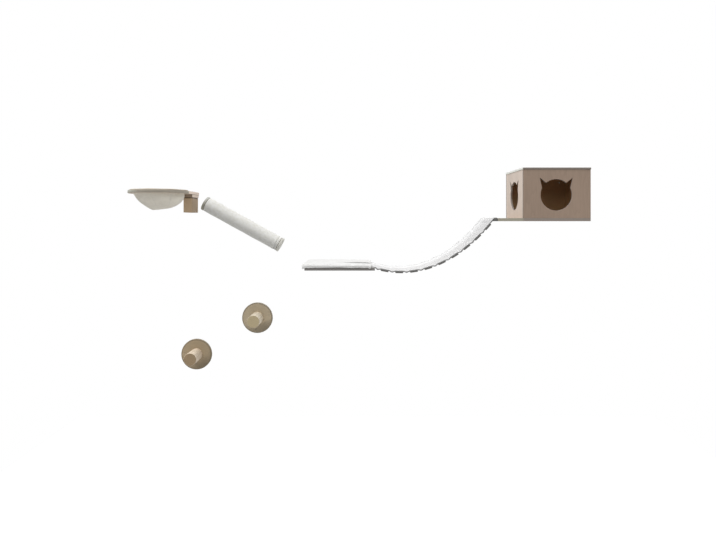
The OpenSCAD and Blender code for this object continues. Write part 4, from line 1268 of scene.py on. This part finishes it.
def bag_floor(a, share):
    """A ring of the floor, at a share of its radius, with a seam near its edge."""
    r, z = bag_side(a, 1.0)
    middle_z = RING_UNDER - BAG_DEPTH + BAG_CLOTH / 2
    seam = 0.0016 * math.exp(-((share - 0.96) / 0.05) ** 2)
    return r * share, middle_z + (z - middle_z) * share - 0.001 * (1 - share) + seam


def bag_rows():
    """The bag's rings from the folded hem to the floor, each a function from an angle to a
    radius and a height, with its shift. Also the number of rings above the sides."""
    hem = [(r, RIM_UPPER) for r in (0.1560, 0.1610, 0.1665, 0.1702)]
    hem += [(0.1711, (RIM_UPPER * 3 + RIM_LOWER) / 4), (0.1714, (RIM_UPPER + RIM_LOWER) / 2),
            (0.1711, (RIM_UPPER + RIM_LOWER * 3) / 4)]
    hem += [(r, RIM_LOWER) for r in (0.1702, 0.1650, 0.1590, 0.1540)]
    hem += [(0.1512, RIM_LOWER - 0.0002)]
    neck = [(0.1496, RIM_LOWER - 0.0012), (0.1489, 0.0236), (0.1488, 0.0180), (0.1488, 0.0125)]
    rows = [(lambda a, r=r, z=z: (r, z + rim_lift(a, r)), 0.0) for r, z in hem]
    rows += [(lambda a, r=r, z=z: (r, z), 0.0) for r, z in neck]
    first_side = len(rows)
    for t in (i / BAG_STEPS for i in range(BAG_STEPS + 1)):
        rows.append((lambda a, t=t: bag_side(a, t), BAG_SHIFT * t))
    for share in (0.96, 0.86, 0.68, 0.46, 0.22, 0.0):
        rows.append((lambda a, share=share: bag_floor(a, share), BAG_SHIFT))
    return rows, first_side


def bag_point(a, r, z, shift=0.0):
    return (RING_MID.x + shift + r * math.cos(a), RING_MID.y + r * math.sin(a), z)


def build_bag():
    angles = [TURN * i / BAG_SIDES for i in range(BAG_SIDES)]
    rings, first_side = bag_rows()
    rows = [[bag_point(a, *ring(a), shift) for a in angles] for ring, shift in rings]
    cloth, down = [], 0.0
    for above, row in zip([rows[0], *rows], rows):
        down += (Vector(row[0]) - Vector(above[0])).length
        cloth.append([(BAG_MEASURE_R * TURN * j / BAG_SIDES, down) for j in range(BAG_SIDES + 1)])
    # Painted shade: along the gores' seams and darker towards the bag's floor
    painted_shade = []
    for i in range(len(rows)):
        gore = GORE_SHADE if i > first_side + 1 else 0
        low = FLOOR_SHADE * smooth_step(i, first_side + 3, first_side + BAG_STEPS)
        painted_shade.append([gore * near_gore(a) + low for a in angles])
    piece = skin("hammock_pouch", rows, cloth, bag_cloth, loop=True, painted_shade=painted_shade)
    thicken(piece, BAG_CLOTH)

    top = BAG_CLOTH / 2
    seams = [[bag_point(a, r, RIM_UPPER + rim_lift(a, r) + top) for a in angles + angles[:1]]
             for r in FLANGE_SEAMS]
    for i in range(SNAPS):
        for side in (-1, 1):
            a, line = TURN * i / SNAPS + side * GORE_SEAM_TURN, []
            for step in range(2, BAG_STEPS + 1):
                r, z = bag_side(a, step / BAG_STEPS)
                line.append(bag_point(a, r + top + 0.0001, z - 0.0003,
                                      BAG_SHIFT * step / BAG_STEPS))
            seams.append(line)
    sewing = sewn("hammock_pouch_stitches", seams)
    places = [(bag_point(TURN * (i + 0.5) / SNAPS, SNAP_R, RIM_UPPER + top), (0, 0, 1))
              for i in range(SNAPS)]
    caps = made_on(snaps, "hammock_snap_caps", places)
    fasten(piece, "hammock_bag")
    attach(sewing, WALL)
    fasten(caps, "hammock_snaps")


# Scratching post

POST_MID = Vector((-1.928, -0.067, -0.182))
POST_TILT = math.radians(28.9)
POST_R, SLEEVE_IN_R = 0.047, 0.04405
SLEEVE_HALF, SLEEVE_HEM, HEM_DRAW = 0.266, 0.012, 0.0020
TIE_AT, TIE_REACH, TIE_DEEP = 0.252, 0.0036, 0.0030
SEAM_TURN, SEAM_STITCH_TURN = math.radians(150), 0.075
SEAM_HALF, SEAM_POINTS, COVER_SEAM_IN = 0.238, 90, 0.0075
UNDERSIDE_SHADE = 0.14
SLEEVE_SIDES, SLEEVE_ROWS = 128, 112
CAP_EASE, CAP_HOLE = 0.002, 0.05
post_axis = Vector((math.cos(POST_TILT), 0, -math.sin(POST_TILT)))
post_up = Vector((math.sin(POST_TILT), 0, math.cos(POST_TILT)))
post_back = Vector((0, 1, 0))


def post_point(s, a, r):
    """A point at s along the post's axis; a turns from the top towards the wall."""
    return POST_MID + post_axis * s + (post_up * math.cos(a) + post_back * math.sin(a)) * r


def tied(s):
    """1 in the groove where the cover is tied down near its lower end, less near the other."""
    lower = math.exp(-((s - TIE_AT) / TIE_REACH) ** 2)
    return lower + 0.3 * math.exp(-((s + TIE_AT) / 0.0025) ** 2)


def tie_shade(s, a):
    """How much painted shade falls in a groove, more of it on the post's underside."""
    return min(1.0, tied(s)) * min(max(0.5 - 0.6 * math.cos(a), 0.12), 1.0)


def sleeve_radius(s, a):
    end = min(1.0, (SLEEVE_HALF - abs(s)) / SLEEVE_HEM)
    loose = 1 - 0.85 * max(0.0, math.sin(a)) ** 0.5
    gather = 0.0005 * math.cos(26 * a + 3 * math.sin(a * 3)) * (1 - end)
    lump = noise.noise(Vector((s * 11, math.cos(a) * 1.6, math.sin(a) * 1.6)))
    fine = noise.noise(Vector((s * 130, math.cos(a) * 6, math.sin(a) * 6)))
    bulge = 0.0014 * math.exp(-((s + 0.21) / 0.045) ** 2)
    seam = math.exp(-(((a - SEAM_TURN + math.pi) % TURN - math.pi) / 0.035) ** 2)
    body = POST_R - 0.0006 + loose * (0.0013 * lump + 0.0003 * fine + bulge)
    swollen = 0.0012 * loose * math.exp(-((s - TIE_AT + 0.008) / 0.003) ** 2)
    tie = TIE_DEEP * loose * tied(s) - swollen
    return body - HEM_DRAW * (1 - math.sqrt(max(end, 0))) + gather - 0.0016 * seam - tie


def sleeve_places():
    """Places along the cover, closer together near its ends and its ties."""
    places = [s for s in np.linspace(-SLEEVE_HALF, SLEEVE_HALF, SLEEVE_ROWS)
              if abs(s) < TIE_AT - 0.013]
    near_end = [SLEEVE_HALF - d for d in (0, 0.0008, 0.002, 0.0035, 0.0055, 0.008, 0.0105)]
    near_tie = [TIE_AT + d for d in (-0.011, -0.0095, -0.008, -0.0065, -0.005, -0.0035, -0.0022,
                                     -0.001, 0, 0.001, 0.0022, 0.0035, 0.005)]
    places += [side * s for s in near_end + near_tie for side in (-1, 1)]
    return sorted(set(round(s, 4) for s in places))


def build_sleeve():
    angles = [TURN * j / SLEEVE_SIDES for j in range(SLEEVE_SIDES)]
    places = sleeve_places()

    def inner_row(s):
        return [post_point(s, a, SLEEVE_IN_R) for a in angles]

    back_in = list(reversed(places[1:-1:6]))
    rows = [inner_row(-SLEEVE_HALF)]
    rows += [[post_point(s, a, sleeve_radius(s, a)) for a in angles] for s in places]
    rows += [inner_row(SLEEVE_HALF), *map(inner_row, back_in), rows[0]]
    measure = [-SLEEVE_HALF - 0.001, *places, SLEEVE_HALF + 0.001]
    measure += [2 * SLEEVE_HALF - s for s in back_in]
    measure.append(measure[-1] + 0.05)
    cloth = [[(POST_R * TURN * j / SLEEVE_SIDES, s) for j in range(SLEEVE_SIDES + 1)]
             for s in measure]
    smooth_row = [0.0] * SLEEVE_SIDES
    # Painted shade: in the tie grooves, and darker towards the post's underside
    painted_shade = [[max(tie_shade(s, a), UNDERSIDE_SHADE * (1 - math.cos(a))) for a in angles] for s in places]
    painted_shade = [smooth_row, *painted_shade, *[smooth_row] * (len(rows) - len(places) - 1)]
    piece = skin("post_cover", rows, cloth, plush, loop=True, painted_shade=painted_shade)
    smooth_by_angle(piece.data, 75)

    seams = []
    for side in (-1, 1):
        a = SEAM_TURN + side * SEAM_STITCH_TURN
        seams.append([post_point(s, a, sleeve_radius(s, a) + 0.0001)
                      for s in np.linspace(-SEAM_HALF, SEAM_HALF, SEAM_POINTS)])
    hem_s = SLEEVE_HALF - COVER_SEAM_IN
    for end in (-1, 1):
        seams.append([post_point(end * hem_s, a, sleeve_radius(hem_s, a) + 0.0002)
                      for a in angles + angles[:1]])
    sewing = sewn("post_cover_stitches", seams)
    fasten(piece, "post_sleeve")
    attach(sewing, WALL)


def build_caps():
    # Painted shade on the upper cap, with painted light towards its top
    lit_side = (post_point(-SLEEVE_HALF, 0, 0), post_up, POST_R * 0.85, UPPER_FELT_LIT)
    shaded_felt = pile_cloth("cap_felt", UPPER_FELT_SHADED, toned(UPPER_FELT_SHADED, 0.8), 700, 90, 0.0010, 0.1,
                           lit_side)
    for end, felt in (("upper", shaded_felt), ("lower", pale_felt)):
        eased(f"post_{end}_cap", end + "_end_cap", felt, CAP_EASE, 3,
              small_hole=CAP_HOLE)


# Nodes shown as they are


def dress_hidden_nodes():
    dowel = ringed_wood("dowel_beech", "Y", (0.3, 0, 0.1), DOWEL_BEECH, 0.002, 31, DOWEL_LATE)
    core = ringed_wood("core_wood", "X", (-1.9, 0.2, -0.6), CORE_WOOD_SHADED, 0.004, 32, CORE_LATE_SHADED)
    finishes = {"house_dowels": dowel, "post_core": core,
                "platform_hook_strips": hook_tape("hook_tape")}
    for node in ("platform_shelf_bracket", "hammock_wall_bracket", "post_mount_bolts",
                 "step_upper_bolt", "step_lower_bolt"):
        finishes[node] = zinc
    for node, material in finishes.items():
        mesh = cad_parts[node].data
        mesh.materials.clear()
        mesh.materials.append(material)


# Floor and world, then everything built in turn

FLOOR_Z = -2.36
FLOOR_X, FLOOR_Y = (-4.3, 2.1), (-3.4, 2.6)


def add_floor():
    (left, right), (near, far) = FLOOR_X, FLOOR_Y
    corners = [(left, near), (right, near), (right, far), (left, far)]
    mesh = bpy.data.meshes.new("studio_floor")
    mesh.from_pydata([(x, y, FLOOR_Z) for x, y in corners], [], [(0, 1, 2, 3)])
    f = Finish("floor_paint")
    seen = f.node("ShaderNodeLightPath", output="Is Camera Ray")
    values = {"Base Color": (0.7, 0.7, 0.7, 1), "Roughness": 0.8, "Specular IOR Level": 0.1,
              "Emission Color": (1, 1, 1, 1), "Emission Strength": seen * 0.5}
    shader = f.node("ShaderNodeBsdfPrincipled", values=values)
    f.node("ShaderNodeOutputMaterial", values={"Surface": shader})
    mesh.materials.append(f.material)
    link("studio_floor", mesh)


def light_world():
    """Soft light from all sides, which the camera and mirrors see as plain white."""
    world = bpy.data.worlds.new("studio_world")
    bpy.context.scene.world = world
    world.use_nodes = True
    graph = Graph(world.node_tree)
    camera, glossy, clear = (graph.node("ShaderNodeLightPath", output=name) for name in
                             ("Is Camera Ray", "Is Glossy Ray", "Is Transmission Ray"))
    seen = graph.math("MAXIMUM", graph.math("MAXIMUM", camera, glossy), clear)
    strength = AMBIENT + seen * (1 - AMBIENT)
    sky = graph.node("ShaderNodeBackground", values={"Color": (1, 1, 1, 1), "Strength": strength})
    graph.node("ShaderNodeOutputWorld", values={"Surface": sky})


set_camera()
light_world()
add_suns()
bpy.context.scene.view_settings.view_transform = "Standard"
add_floor()
build_boards()
build_screws()
build_steps()
build_blocks()
build_slats()
build_tacks()
build_cushion()
build_bag()
build_sleeve()
build_caps()
dress_hidden_nodes()
build_deck()
